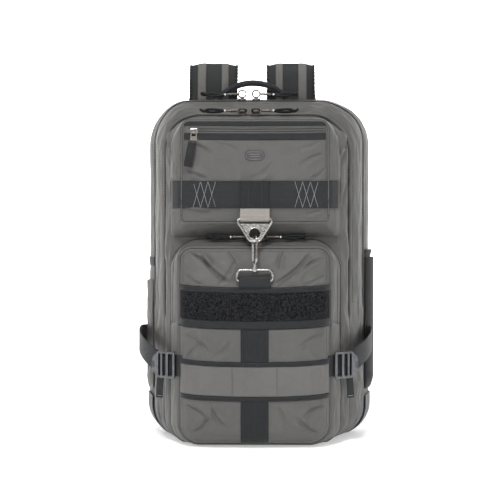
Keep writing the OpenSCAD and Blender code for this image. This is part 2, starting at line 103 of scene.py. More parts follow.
def outline(hw, z0, z1, rt, rb, steps=LOOP_STEPS):
    """Closed outline from the middle of the base, up the right side, over the top and down the left."""
    nb, nc, ns, nt, nh = steps
    right = []
    for i in range(nb):
        right.append(((hw - rb) * i / nb, z0))
    for i in range(nc):
        a = math.radians(-90 + 90 * i / nc)
        right.append((hw - rb + rb * math.cos(a), z0 + rb + rb * math.sin(a)))
    for i in range(ns):
        right.append((hw, z0 + rb + (z1 - rt - z0 - rb) * i / ns))
    for i in range(nt):
        a = math.radians(90 * i / nt)
        right.append((hw - rt + rt * math.cos(a), z1 - rt + rt * math.sin(a)))
    for i in range(nh):
        right.append(((hw - rt) * (1 - i / nh), z1))
    right = np.array(right)
    left = right[1:][::-1] * np.array([-1.0, 1.0])
    return np.vstack([right, [[0.0, z1]], left])


# ---------------------------------------------------------------------------
# Mesh helpers
# ---------------------------------------------------------------------------


def new_object(name, verts, faces, material=None, smooth_shade=True):
    """A mesh object from points in millimetres."""
    mesh = bpy.data.meshes.new(name)
    mesh.from_pydata((np.asarray(verts, float) * MM).tolist(), [], faces)
    mesh.validate()
    if smooth_shade:
        mesh.polygons.foreach_set("use_smooth", [True] * len(mesh.polygons))
    obj = bpy.data.objects.new(name, mesh)
    bpy.context.scene.collection.objects.link(obj)
    for m in material if isinstance(material, (list, tuple)) else [material]:
        if m is not None:
            mesh.materials.append(m)
    return obj


def grid_faces(rows, cols, wrap=False, offset=0):
    faces = []
    last = cols if wrap else cols - 1
    for r in range(rows - 1):
        for c in range(last):
            d = (c + 1) % cols
            faces.append((
                offset + r * cols + c, offset + r * cols + d,
                offset + (r + 1) * cols + d, offset + (r + 1) * cols + c,
            ))
    return faces


def grid_normals(grid, wrap=False):
    """Unit normals of a (rows, cols, 3) grid, along columns crossed with rows."""
    if wrap:
        du = np.roll(grid, -1, 1) - np.roll(grid, 1, 1)
    else:
        du = np.gradient(grid, axis=1)
    dv = np.gradient(grid, axis=0)
    n = np.cross(du, dv)
    return n / np.maximum(np.linalg.norm(n, axis=2, keepdims=True), 1e-9)


def fbm(p, scale, octaves=3, seed=0.0):
    """Smooth noise from -1 to 1 at each point of an (n, 3) array; scale is a size per axis."""
    q = p / np.asarray(scale, float) + seed
    out = np.empty(len(q))
    for i, v in enumerate(q):
        total, amp, freq = 0.0, 0.6, 1.0
        for _ in range(octaves):
            total += amp * noise.noise(Vector(v) * freq)
            amp *= 0.5
            freq *= 2.1
        out[i] = total
    return out


def crease(p, start, end, width, depth, fade=0.25, bow=0.0):
    """Height of one fold along a line in the plane of the front: a soft ridge with a sharp valley beside it."""
    a = np.array(start, float)
    b = np.array(end, float)
    d = b - a
    length = np.linalg.norm(d)
    d = d / length
    n = np.array([-d[1], d[0]])
    rel = p[:, [0, 2]] - a
    t = rel @ d / length
    s = rel @ n - bow * np.sin(np.pi * np.clip(t, 0, 1))
    window = smooth(-0.02, fade, t) * (1 - smooth(1 - fade, 1.02, t))
    w = width * (0.45 + 0.75 * np.clip(t, 0, 1))
    ridge = np.exp(-((s - 0.55 * w) / (0.8 * w)) ** 2)
    valley = np.exp(-(s / (0.34 * w)) ** 2)
    return depth * window * (0.75 * ridge - valley)


def thicken(obj, mm, inner_slot=0, even=True):
    """Cloth thickness, laid inwards; the inner side's material slot is shifted by inner_slot."""
    m = obj.modifiers.new("thickness", "SOLIDIFY")
    m.thickness = mm * MM
    m.offset = -1
    m.use_even_offset = even
    m.material_offset = inner_slot
    m.material_offset_rim = 0
    return obj


def apply_modifiers(obj):
    depsgraph = bpy.context.evaluated_depsgraph_get()
    mesh = bpy.data.meshes.new_from_object(obj.evaluated_get(depsgraph), depsgraph=depsgraph)
    obj.modifiers.clear()
    old = obj.data
    obj.data = mesh
    bpy.data.meshes.remove(old)
    return obj


def join_meshes(name, parts, material):
    """One object from (verts, faces) pairs in millimetres."""
    verts, faces, offset = [], [], 0
    for v, f in parts:
        verts.append(np.asarray(v, float))
        faces += [tuple(i + offset for i in face) for face in f]
        offset += len(v)
    return new_object(name, np.vstack(verts), faces, material)


def sweep(path, radius, sides=8, closed=False, flat=1.0, up=(0, 0, 1)):
    """A tube along a path: radius is a number or one per point, flat squeezes it along up."""
    p = np.asarray(path, float)
    n = len(p)
    r = np.full(n, float(radius)) if np.isscalar(radius) else np.asarray(radius, float)
    if closed:
        tangent = np.roll(p, -1, 0) - np.roll(p, 1, 0)
    else:
        tangent = np.gradient(p, axis=0)
    tangent /= np.maximum(np.linalg.norm(tangent, axis=1, keepdims=True), 1e-9)
    verts = []
    guide = np.asarray(up, float)
    for i in range(n):
        side = np.cross(tangent[i], guide)
        if np.linalg.norm(side) < 0.2:
            side = np.cross(tangent[i], np.array([0.0, 1.0, 0.0]) if abs(guide[1]) < 0.9 else np.array([1.0, 0, 0]))
        side /= np.linalg.norm(side)
        top = np.cross(side, tangent[i])
        for k in range(sides):
            a = 2 * math.pi * k / sides
            verts.append(p[i] + r[i] * (math.cos(a) * side + flat * math.sin(a) * top))
    faces = []
    for i in range(n if closed else n - 1):
        j = (i + 1) % n
        for k in range(sides):
            m = (k + 1) % sides
            faces.append((i * sides + k, i * sides + m, j * sides + m, j * sides + k))
    if not closed:
        faces.append(tuple(range(sides))[::-1])
        faces.append(tuple((n - 1) * sides + k for k in range(sides)))
    return np.array(verts), faces


def slab_parts(surface, us, vs, thick, lift=0.15, edge=0.5):
    """A closed strip that lies on a surface: surface(u, v) gives points, and the borders are rounded."""
    us, vs = np.asarray(us, float), np.asarray(vs, float)
    grid = np.array([[surface(u, v) for u in us] for v in vs])
    normals = grid_normals(grid)
    rows, cols = len(vs), len(us)
    height = np.full((rows, cols), float(thick))
    for k, share in enumerate((0.0, edge)):
        height[k, :] = np.minimum(height[k, :], thick * share)
        height[-1 - k, :] = np.minimum(height[-1 - k, :], thick * share)
        height[:, k] = np.minimum(height[:, k], thick * share)
        height[:, -1 - k] = np.minimum(height[:, -1 - k], thick * share)
    outer = grid + normals * (height + lift)[..., None]
    inner = grid + normals * (lift - 0.15)
    verts = np.vstack([outer.reshape(-1, 3), inner.reshape(-1, 3)])
    faces = grid_faces(rows, cols)
    back = [tuple(rows * cols + i for i in f[::-1]) for f in faces]
    border = (
        [c for c in range(cols)] + [r * cols + cols - 1 for r in range(1, rows)]
        + [(rows - 1) * cols + c for c in range(cols - 2, -1, -1)] + [r * cols for r in range(rows - 2, 0, -1)]
    )
    rim = []
    for i, a in enumerate(border):
        b = border[(i + 1) % len(border)]
        rim.append((b, a, rows * cols + a, rows * cols + b))
    return verts, faces + back + rim


def edge_spaced(lo, hi, step, rim=0.7):
    """Steps from lo to hi with two narrow ones at each end, for rounded borders."""
    n = max(2, int(round((hi - lo - 2 * rim) / step)))
    inner = np.linspace(lo + rim, hi - rim, n + 1)
    return np.concatenate([[lo, lo + 0.35 * rim], inner, [hi - 0.35 * rim, hi]])


def plate(name, loops, thick, bevel, material, matrix=None):
    """A flat piece with rounded edges from closed outlines in its own XY plane, the first one outside."""
    curve = bpy.data.curves.new(name, "CURVE")
    curve.dimensions = "2D"
    curve.fill_mode = "BOTH"
    curve.extrude = max(thick / 2 - bevel, 0.01) * MM
    curve.bevel_depth = bevel * MM
    curve.bevel_resolution = 2
    curve.offset = -bevel * MM
    for loop in loops:
        spline = curve.splines.new("POLY")
        spline.points.add(len(loop) - 1)
        for point, (x, y) in zip(spline.points, loop):
            point.co = (x * MM, y * MM, 0, 1)
        spline.use_cyclic_u = True
    source = bpy.data.objects.new(name + "_curve", curve)
    bpy.context.scene.collection.objects.link(source)
    depsgraph = bpy.context.evaluated_depsgraph_get()
    mesh = bpy.data.meshes.new_from_object(source.evaluated_get(depsgraph), depsgraph=depsgraph)
    bpy.data.objects.remove(source)
    bpy.data.curves.remove(curve)
    bm = bmesh.new()
    bm.from_mesh(mesh)
    bmesh.ops.remove_doubles(bm, verts=bm.verts, dist=1e-6)
    bmesh.ops.recalc_face_normals(bm, faces=bm.faces)
    bm.to_mesh(mesh)
    bm.free()
    mesh.name = name
    mesh.materials.clear()
    mesh.materials.append(material)
    obj = bpy.data.objects.new(name, mesh)
    bpy.context.scene.collection.objects.link(obj)
    if matrix is not None:
        mesh.transform(matrix)
    return obj


def rounded_polygon(corners, radii, steps=6):
    """Outline of a polygon with a round at each corner."""
    pts = []
    n = len(corners)
    for i in range(n):
        p = np.array(corners[i], float)
        a = np.array(corners[i - 1], float) - p
        b = np.array(corners[(i + 1) % n], float) - p
        la, lb = np.linalg.norm(a), np.linalg.norm(b)
        a, b = a / la, b / lb
        r = radii[i] if isinstance(radii, (list, tuple)) else radii
        angle = math.acos(np.clip(a @ b, -1, 1))
        cut = min(r / math.tan(angle / 2), 0.49 * la, 0.49 * lb)
        r = cut * math.tan(angle / 2)
        bis = (a + b) / np.linalg.norm(a + b)
        centre = p + bis * r / math.sin(angle / 2)
        s, e = p + a * cut - centre, p + b * cut - centre
        a0 = math.atan2(s[1], s[0])
        turn = (math.atan2(e[1], e[0]) - a0 + math.pi) % (2 * math.pi) - math.pi
        for k in range(steps + 1):
            t = a0 + turn * k / steps
            pts.append((centre[0] + r * math.cos(t), centre[1] + r * math.sin(t)))
    return pts


def circle(cx, cy, r, steps=28):
    return [(cx + r * math.cos(2 * math.pi * k / steps), cy + r * math.sin(2 * math.pi * k / steps)) for k in range(steps)]


def resample(path, step):
    """Points at equal steps along a polyline."""
    p = np.asarray(path, float)
    seg = np.linalg.norm(np.diff(p, axis=0), axis=1)
    s = np.concatenate([[0], np.cumsum(seg)])
    n = max(2, int(round(s[-1] / step)) + 1)
    t = np.linspace(0, s[-1], n)
    return np.stack([np.interp(t, s, p[:, k]) for k in range(3)], axis=1)


def smooth_path(points, per=8):
    """A Catmull-Rom curve through points."""
    p = np.asarray(points, float)
    p = np.vstack([2 * p[0] - p[1], p, 2 * p[-1] - p[-2]])
    out = []
    for i in range(1, len(p) - 2):
        for k in range(per):
            t = k / per
            a, b, c, d = p[i - 1], p[i], p[i + 1], p[i + 2]
            out.append(0.5 * (2 * b + (c - a) * t + (2 * a - 5 * b + 4 * c - d) * t * t + (3 * b - a - 3 * c + d) * t ** 3))
    out.append(p[-2])
    return np.array(out)


def stitch_parts(path, normals, length=2.3, pitch=3.3, radius=0.28, lift=0.25):
    """Separate thread stitches along a path."""
    p = np.asarray(path, float)
    nrm = np.asarray(normals, float)
    seg = np.linalg.norm(np.diff(p, axis=0), axis=1)
    s = np.concatenate([[0], np.cumsum(seg)])
    parts = []
    t = 0.0
    while t + length < s[-1]:
        pts = []
        for k in range(4):
            q = t + length * k / 3
            point = np.array([np.interp(q, s, p[:, j]) for j in range(3)])
            nv = np.array([np.interp(q, s, nrm[:, j]) for j in range(3)])
            nv /= max(np.linalg.norm(nv), 1e-9)
            pts.append(point + nv * (lift * (0.2 if k in (0, 3) else 1.0)))
        parts.append(sweep(pts, radius, sides=5))
        t += pitch
    return parts


# ---------------------------------------------------------------------------
# Materials
# ---------------------------------------------------------------------------


class Look:
    """A node material that is built up from named steps."""

    def __init__(self, name, color, rough, metallic=0.0, sheen=0.0, specular=0.5):
        self.mat = bpy.data.materials.new(name)
        self.mat.use_nodes = True
        self.tree = self.mat.node_tree
        self.shader = self.tree.nodes["Principled BSDF"]
        self.color = color
        self.rough = rough
        self.shader.inputs["Base Color"].default_value = (*color, 1)
        self.shader.inputs["Roughness"].default_value = rough
        self.shader.inputs["Metallic"].default_value = metallic
        self.shader.inputs["Sheen Weight"].default_value = sheen
        self.shader.inputs["Sheen Roughness"].default_value = 0.4
        self.shader.inputs["Specular IOR Level"].default_value = specular
        self.coords = self.node("ShaderNodeTexCoord").outputs["Object"]
        self.height = None

    def node(self, kind, **values):
        n = self.tree.nodes.new(kind)
        for key, value in values.items():
            if key in n.inputs:
                n.inputs[key].default_value = value
            else:
                setattr(n, key, value)
        return n

    def link(self, a, b):
        self.tree.links.new(a, b)

    def mapped(self, scale, turn=(0, 0, 0)):
        m = self.node("ShaderNodeMapping")
        m.inputs["Scale"].default_value = scale
        m.inputs["Rotation"].default_value = turn
        self.link(self.coords, m.inputs["Vector"])
        return m.outputs["Vector"]

    def noise(self, scale, detail=3.0, stretch=(1, 1, 1), rough=0.5):
        n = self.node("ShaderNodeTexNoise", Scale=scale, Detail=detail, Roughness=rough)
        self.link(self.mapped(stretch), n.inputs["Vector"])
        return n.outputs["Fac"]

    def wave(self, pitch_mm, axis="X", profile="SIN", turn=(0, 0, 0), distortion=0.0):
        """Stripes pitch_mm apart."""
        n = self.node("ShaderNodeTexWave", bands_direction=axis, wave_profile=profile)
        n.inputs["Scale"].default_value = 2 * math.pi / 20 / (pitch_mm * MM)
        n.inputs["Distortion"].default_value = distortion
        n.inputs["Detail"].default_value = 0.0
        self.link(self.mapped((1, 1, 1), turn), n.inputs["Vector"])
        return n.outputs["Fac"]

    def math(self, op, a, b, clamp=False):
        n = self.node("ShaderNodeMath", operation=op, use_clamp=clamp)
        for k, v in enumerate((a, b)):
            if isinstance(v, (int, float)):
                n.inputs[k].default_value = v
            else:
                self.link(v, n.inputs[k])
        return n.outputs[0]

    def ramp(self, fac, lo, hi, to_lo=0.0, to_hi=1.0):
        n = self.node("ShaderNodeMapRange")
        n.inputs["From Min"].default_value = lo
        n.inputs["From Max"].default_value = hi
        n.inputs["To Min"].default_value = to_lo
        n.inputs["To Max"].default_value = to_hi
        self.link(fac, n.inputs["Value"])
        return n.outputs["Result"]

    def tint(self, fac, dark, light):
        """Colour runs from dark to light times the base colour as fac goes from 0 to 1."""
        n = self.node("ShaderNodeMix", data_type="RGBA")
        a = [c * dark for c in self.color] + [1]
        b = [c * light for c in self.color] + [1]
        n.inputs[6].default_value = a
        n.inputs[7].default_value = b
        self.link(fac, n.inputs[0])
        self.link(n.outputs[2], self.shader.inputs["Base Color"])
        return self

    def roughness(self, fac, lo, hi):
        self.link(self.ramp(fac, 0.3, 0.7, lo, hi), self.shader.inputs["Roughness"])
        return self

    def bump(self, height, strength, distance_mm):
        n = self.node("ShaderNodeBump", Strength=strength)
        n.inputs["Distance"].default_value = distance_mm * MM
        self.link(height, n.inputs["Height"])
        if self.height is not None:
            self.link(self.height, n.inputs["Normal"])
        self.height = n.outputs["Normal"]
        self.link(self.height, self.shader.inputs["Normal"])
        return self


def weave(look, pitch, strength, distance, turn=(0, 0, 0)):
    """Two crossed sets of threads, in the planes that the front and the sides lie in."""
    warp = look.wave(pitch, "X", turn=turn)
    weft = look.wave(pitch, "Z", turn=turn)
    depth = look.wave(pitch, "Y", turn=turn)
    cross = look.math("ADD", look.math("MULTIPLY", warp, weft), look.math("MULTIPLY", depth, weft))
    look.bump(cross, strength, distance)
    return cross


def make_nylon(name, color, sheen=0.25, rough=0.55):
    look = Look(name, color, rough, sheen=sheen, specular=0.28)
    cross = weave(look, 1.1, 0.35, 0.25)
    cloud = look.noise(9.0, 4.0)
    fine = look.noise(420.0, 2.0)
    mix = look.math("ADD", look.math("MULTIPLY", cloud, 0.7), look.math("MULTIPLY", fine, 0.3))
    shade = look.math("ADD", mix, look.math("MULTIPLY", cross, 0.12))
    look.tint(look.ramp(shade, 0.3, 0.8), 0.86, 1.14)
    look.roughness(cloud, rough - 0.06, rough + 0.08)
    look.bump(look.noise(60.0, 4.0, rough=0.6), 0.25, 0.5)
    return look.mat


def make_webbing(name, color, axis="Z", pitch=2.6, rough=0.62, fine=0.8):
    """Woven strap: ribs a few millimetres apart across it, crossed by fine threads."""
    look = Look(name, color, rough, sheen=0.05, specular=0.25)
    ribs = look.wave(pitch, axis)
    threads = look.wave(fine, {"Z": "X", "X": "Z", "Y": "Z"}[axis])
    both = look.math("ADD", look.math("MULTIPLY", ribs, 0.75), look.math("MULTIPLY", threads, 0.25))
    look.bump(both, 0.6, 0.45)
    speck = look.noise(500.0, 2.0)
    look.tint(look.ramp(look.math("ADD", look.math("MULTIPLY", both, 0.55), look.math("MULTIPLY", speck, 0.45)), 0.15, 0.85), 0.68, 1.3)
    return look.mat


def make_velcro():
    look = Look("loop_pile", (0.0062, 0.0064, 0.0070), 0.9, sheen=0.04, specular=0.08)
    curl = look.noise(420.0, 4.0, rough=0.8)
    look.tint(look.ramp(curl, 0.40, 0.62), 0.15, 4.4)
    look.bump(curl, 1.0, 0.9)
    return look.mat


def make_metal(name, color, rough, scratch=0.15, edge=1.0):
    """Worn metal; edge below 1 dulls what it mirrors at grazing angles."""
    look = Look(name, color, rough, metallic=1.0)
    look.shader.inputs["Specular Tint"].default_value = (edge, edge, edge, 1)
    worn = look.noise(160.0, 5.0, rough=0.65)
    look.tint(look.ramp(worn, 0.3, 0.75), 0.72, 1.12)
    look.roughness(look.noise(320.0, 4.0, stretch=(1, 1, 5)), rough - 0.08, rough + 0.14)
    look.bump(look.noise(700.0, 3.0), scratch, 0.05)
    return look.mat


def make_plastic(name, color, rough=0.45):
    look = Look(name, color, rough, specular=0.5)
    grain = look.noise(1400.0, 3.0)
    look.tint(look.ramp(look.noise(30.0, 3.0), 0.3, 0.7), 0.9, 1.12)
    look.bump(grain, 0.2, 0.06)
    return look.mat


def make_thread(name, color):
    look = Look(name, color, 0.6, sheen=0.2)
    twist = look.wave(0.7, "X", turn=(0, 0.6, 0.6))
    look.tint(twist, 0.75, 1.15)
    look.bump(twist, 0.4, 0.1)
    return look.mat


def make_spacer(name, color, pitch=3.2):
    """Knitted spacer mesh: rows of small round holes."""
    look = Look(name, color, 0.8, sheen=0.3, specular=0.2)
    n = look.node("ShaderNodeTexVoronoi", Scale=1000 / pitch)
    look.link(look.mapped((1, 1, 1)), n.inputs["Vector"])
    hole = look.ramp(n.outputs["Distance"], 0.12, 0.42)
    look.tint(hole, 0.35, 1.15)
    look.bump(hole, 0.8, 0.6)
    return look.mat


NYLON = make_nylon("grey_nylon", (0.092, 0.0905, 0.086), sheen=0.02, rough=0.5)
NYLON_TAPE = make_nylon("grey_tape", (0.112, 0.110, 0.105), sheen=0.02, rough=0.5)
LINING = make_nylon("lining", (0.048, 0.050, 0.053), sheen=0.05, rough=0.6)
PATCH = make_nylon("coated_patch", (0.042, 0.046, 0.051), sheen=0.05, rough=0.4)
BLACK_WEB = make_webbing("black_webbing", (0.0175, 0.019, 0.0205), "Z", 2.4)
BLACK_WEB_UP = make_webbing("black_webbing_upright", (0.0135, 0.0145, 0.0158), "X", 2.4)
PULL_CORD = make_webbing("pull_cord", (0.0075, 0.008, 0.009), "X", 1.3, fine=0.7)
BLACK_TAPE = make_webbing("black_tape", (0.0160, 0.0175, 0.0195), "Z", 1.2, fine=0.7)
STRAP_CLOTH = make_webbing("strap_cloth", (0.0175, 0.0185, 0.019), "Z", 1.5, fine=1.1)
STRIPE = make_webbing("strap_stripe", (0.112, 0.109, 0.103), "Z", 1.3, fine=0.8)
TAUPE = make_webbing("taupe_webbing", (0.285, 0.262, 0.243), "X", 1.5, fine=0.9)
VELCRO = make_velcro()
SPACER = make_spacer("spacer_mesh", (0.035, 0.036, 0.038))
NET = make_webbing("net_cord", (0.020, 0.021, 0.023), "Z", 0.9, fine=0.6)
NET_BACK = make_nylon("net_lining", (0.012, 0.012, 0.013), sheen=0.1, rough=0.7)
ZIP_TAPE = make_webbing("zip_tape", (0.020, 0.021, 0.023), "Z", 0.9, fine=0.6)
COIL = make_plastic("zip_coil", (0.013, 0.013, 0.014), 0.35)
NICKEL = make_metal("satin_nickel", (0.42, 0.405, 0.39), 0.22, edge=0.7)
NICKEL_DARK = make_metal("worn_nickel", (0.26, 0.235, 0.215), 0.28, edge=0.35)
BRONZE = make_metal("dark_bronze", (0.095, 0.080, 0.070), 0.3, edge=0.12)
GUNMETAL = make_metal("gunmetal", (0.16, 0.165, 0.175), 0.34)
BLACK_PLASTIC = make_plastic("black_plastic", (0.018, 0.018, 0.020), 0.4)
BADGE = make_plastic("badge_rubber", (0.055, 0.053, 0.051), 0.5)
# Dark thread for the stitches; the same colour also paints shade as dark cords along the pockets' piping.
DARK_THREAD_AND_SHADE = make_thread("dark_thread_and_painted_shade", (0.020, 0.020, 0.021))
THREAD_GREY = make_thread("grey_thread", (0.09, 0.088, 0.085))
THREAD_LIGHT = make_thread("light_thread", (0.30, 0.33, 0.35))
CRIMP = make_plastic("clear_crimp", (0.72, 0.73, 0.74), 0.3)
FOAM = make_plastic("stiffener_sheet", (0.62, 0.62, 0.60), 0.7)


def lean_to_side(obj):
    """The soft sides lean a little to the pack's left, as the photograph shows."""
    co = np.empty(len(obj.data.vertices) * 3)
    obj.data.vertices.foreach_get("co", co)
    co = co.reshape(-1, 3)
    co[:, 0] += SIDE_LEAN * MM * smooth(108, 150, np.abs(co[:, 0]) / MM)
    obj.data.vertices.foreach_set("co", co.ravel())
    obj.data.update()


def finish_piece(obj, body, slot, *nodes):
    """Every piece rides on a body and may stand for CAD nodes; the slot argument is not used."""
    if body in ("pack", "mid_section", "front_section"):
        lean_to_side(obj)
    if body:
        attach(obj, body)
    if nodes:
        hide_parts(*nodes)
    return obj


# ---------------------------------------------------------------------------
# Cloth walls of the body
# ---------------------------------------------------------------------------


def cloth_relief(p, amount, seed):
    """Soft folds that run mostly upright, stronger low down where the cloth slumps."""
    low = 1.0 + 0.9 * (1 - smooth(60, 300, p[:, 2]))
    upright = fbm(p, (26, 26, 85), 3, seed)
    slant = fbm(p @ np.array([[1, 0, 0.5], [0, 1, 0], [-0.5, 0, 1]]), (30, 30, 60), 2, seed + 9)
    ridged = 1 - 2 * np.abs(upright)
    return amount * low * (0.75 * ridged - 0.3 + 0.7 * slant)


def turned_edges(grid, depth=2.2, reach=1.0):
    """Adds a row at both edges that rolls inwards, as a seam allowance does."""
    normals = grid_normals(grid, wrap=True)
    step0 = grid[0] - grid[1]
    step1 = grid[-1] - grid[-2]
    step0 /= np.linalg.norm(step0, axis=1, keepdims=True)
    step1 /= np.linalg.norm(step1, axis=1, keepdims=True)
    first = grid[0] + step0 * 0.6 * reach - normals[0] * 0.7
    first2 = grid[0] + step0 * 0.5 * reach - normals[0] * depth
    last = grid[-1] + step1 * 0.6 * reach - normals[-1] * 0.7
    last2 = grid[-1] + step1 * 0.5 * reach - normals[-1] * depth
    return np.concatenate([[first2], [first], grid, [last], [last2]])


def ring_object(name, grid, material):
    rows, cols = grid.shape[:2]
    faces = [f[::-1] for f in grid_faces(rows, cols, wrap=True)]
    return new_object(name, grid.reshape(-1, 3), faces, material)


def zip_opening(z):
    """0 below the ends of the long zips, 1 above them."""
    return smooth(ZIP_END_Z - 8, ZIP_END_Z + 6, z)


def wall_band(edge_a, edge_b, rows, puff, relief, seed, extra=None):
    """A ring of the body's wall whose two edges follow depth functions of the height."""
    base = outline(*body_section(0.0))
    grid = np.zeros((rows, len(base), 3))
    for r in range(rows):
        t = r / (rows - 1)
        loops = {}
        for c in range(len(base)):
            z_guess = base[c, 1]
            y = blend_value(edge_a(z_guess), edge_b(z_guess), t)
            key = round(y, 2)
            if key not in loops:
                loops[key] = outline(*body_section(y))
            x, z = loops[key][c]
            grid[r, c] = (x, y, z)
    normals = grid_normals(grid, wrap=True)
    flat = grid.reshape(-1, 3)
    t = np.repeat(np.linspace(0, 1, rows), grid.shape[1])
    swell = np.sin(np.pi * t)
    off_floor = smooth(0.5, 16, flat[:, 2])
    height = (puff * swell ** 0.7 + cloth_relief(flat, relief, seed) * swell ** 0.5) * off_floor
    height += 0.8 * fbm(flat, (10, 60, 10), 2, seed + 3) * (1 - swell) ** 2 * off_floor
    if extra is not None:
        height += extra(flat) * off_floor
    grid = grid + normals * height.reshape(grid.shape[:2])[..., None]
    grid[..., 2] = np.maximum(grid[..., 2], 0.1)
    return turned_edges(grid)


def loop_on_body(y, inset, z_from, step=1.0):
    """Points round the body's outline at depth y, from one side up over the top to the other."""
    o = outline(*body_section(y))
    path = np.column_stack([o[:, 0], np.full(len(o), y), o[:, 1]])
    right = path[: len(path) // 2 + 1]
    start = int(np.argmax(right[:, 2] > z_from))
    right = right[start:]
    left = right[:-1][::-1] * np.array([-1, 1, 1])
    p = resample(np.vstack([right, left]), step)
    tangent = np.gradient(p, axis=0)
    n = np.column_stack([tangent[:, 2], np.zeros(len(p)), -tangent[:, 0]])
    n /= np.linalg.norm(n, axis=1, keepdims=True)
    return p - n * inset, n


def coil(path, normals, y_shift, radius=0.85, pitch=1.9):
    """One side of a coil zip: a bead for each turn, on a thin core."""
    s = np.arange(len(path)) * np.linalg.norm(path[1] - path[0])
    turn = 0.5 + 0.5 * np.cos(2 * math.pi * s / pitch)
    return sweep(path + np.array([0, y_shift, 0]), radius * (0.62 + 0.5 * turn), sides=6, up=(0, 1, 0))


def zip_half(name, y, side, z_from, inset, body, node):
    """The tape and the coil on one side of a long zip."""
    p, n = loop_on_body(y + side * 2.4, inset, z_from, 1.5)
    parts = []
    cols = len(p)
    ring = []
    for dy, dn in ((-2.4, 0.0), (2.6, 0.0), (2.6, -0.5), (-2.4, -0.5)):
        ring.append(p + np.array([0, side * dy, 0]) + n * dn)
    grid = np.array(ring + [ring[0]])
    parts.append((grid.reshape(-1, 3), grid_faces(5, cols)))
    tape = join_meshes(name + "_tape", parts, ZIP_TAPE)
    finish_piece(tape, body, "zip_tape", node)
    q, m = loop_on_body(y, inset - 0.5, z_from, 0.48)
    teeth = join_meshes(name + "_coil", [coil(q, m, side * 0.75)], COIL)
    finish_piece(teeth, body, "zip_tape")


def seam_cord(name, paths, radius, material, body, slot="tape"):
    """Rolled piping along a seam, kept above the floor; also the dark cords of painted shade beside the piping."""
    above = [np.column_stack([p[:, 0], p[:, 1], np.maximum(p[:, 2], radius + 0.1)]) for p in paths]
    parts = [sweep(resample(p, 1.6), radius, sides=8) for p in above]
    return finish_piece(join_meshes(name, parts, material), body, slot)


def top_stitches(name, y, inset, z_from, body, material=THREAD_GREY):
    p, n = loop_on_body(y, inset, z_from, 1.0)
    return finish_piece(join_meshes(name, stitch_parts(p, n), material), body, "nylon")


# Height of a rounded rectangle's edge, for the pockets' fronts
def inside_distance(x, z, sec):
    """Distance outside (+) or inside (-) a rounded outline with its own top and bottom radii."""
    hw, z0, z1, rt, rb = sec
    mid = (z0 + z1) / 2
    r = np.where(z > mid, rt, rb)
    half_h = np.where(z > mid, z1 - mid, mid - z0)
    dx = np.abs(x) - (hw - r)
    dz = np.abs(z - mid) - (half_h - r)
    outside = np.sqrt(np.maximum(dx, 0) ** 2 + np.maximum(dz, 0) ** 2)
    return outside + np.minimum(np.maximum(dx, dz), 0) - r


def section_at(sections, y):
    for a, b in zip(sections, sections[1:]):
        if a[0] >= y >= b[0]:
            t = (a[0] - y) / (a[0] - b[0])
            return tuple(blend_value(a[i], b[i], t) for i in range(1, 6))
    return sections[0][1:] if y > sections[0][0] else sections[-1][1:]


def half_width(sec, z):
    """Half the width of an outline at height z."""
    hw, z0, z1, rt, rb = sec
    top = np.clip(z - (z1 - rt), 0, rt)
    low = np.clip((z0 + rb) - z, 0, rb)
    return hw - (rt - np.sqrt(np.maximum(rt ** 2 - top ** 2, 0))) - (rb - np.sqrt(np.maximum(rb ** 2 - low ** 2, 0)))


UPPER = [(-65.3, 117, 288, 449, 40, 6), (-90, 101, 309, 448, 12, 6), (-93, 70, 340, 415, 20, 20)]
LOWER = [
    (-65.3, 117, 0, 283, 43, 30), (-100, 104, 4, 274, 17, 28), (-116, 96, 8, 232, 22, 26), (-125, 74, 18, 200, 26, 24),
]
TUCK = 6.0


def front_depth(x, z, sections, first):
    """How far forward a pocket's front lies at (x, z): the envelope of its outlines, softened."""
    secs = sections[first:]
    y = np.full(x.shape, secs[0][0], float)
    for a, b in zip(secs, secs[1:]):
        da = -inside_distance(x, z, a[1:])
        db = -inside_distance(x, z, b[1:])
        t = np.clip(da / np.maximum(da - db, 1e-6), 0, 1)
        y = np.where(da > 0, np.minimum(y, a[0] + (b[0] - a[0]) * t), y)
    return y


def soften(a, passes):
    for _ in range(passes):
        b = np.pad(a, 1, mode="edge")
        a = (b[:-2, 1:-1] + b[2:, 1:-1] + b[1:-1, :-2] + b[1:-1, 2:] + 2 * a) / 6
    return a


def front_grid(sections, first, z_lo, z_hi, cols, rows, passes, crown, relief):
    """Grid of a pocket's front panel between two heights, with its crown and its creases."""
    sec = sections[first][1:]
    eps = 0.02
    zs = np.linspace(max(z_lo, sec[1] + eps), min(z_hi, sec[2] - eps), rows)
    ends = np.linspace(0, 1, rows)
    if z_lo <= sec[1]:
        zs = zs[0] + (zs[-1] - zs[0]) * (ends ** 1.35)
    if z_hi >= sec[2]:
        zs = zs[-1] - (zs[-1] - zs[0]) * ((1 - ends) ** 1.35)
    u = np.linspace(-1, 1, cols)
    u = np.sign(u) * (1 - (1 - np.abs(u)) ** 1.12)
    hw = half_width(sec, zs)
    x = hw[:, None] * u[None, :]
    z = np.repeat(zs[:, None], cols, 1)
    y = front_depth(x, z, sections, first)
    edge = np.clip(-inside_distance(x, z, sec) / 16.0, 0, 1)
    y = blend_value(y, soften(y, passes), smooth(0, 0.5, edge))
    grid = np.stack([x, y, z], axis=2)
    flat = grid.reshape(-1, 3)
    inner = smooth(0.0, 0.9, edge).reshape(-1)
    height = crown * inner + relief(flat) * smooth(0.05, 0.7, edge.reshape(-1))
    grid[..., 1] -= height.reshape(rows, cols)
    return grid


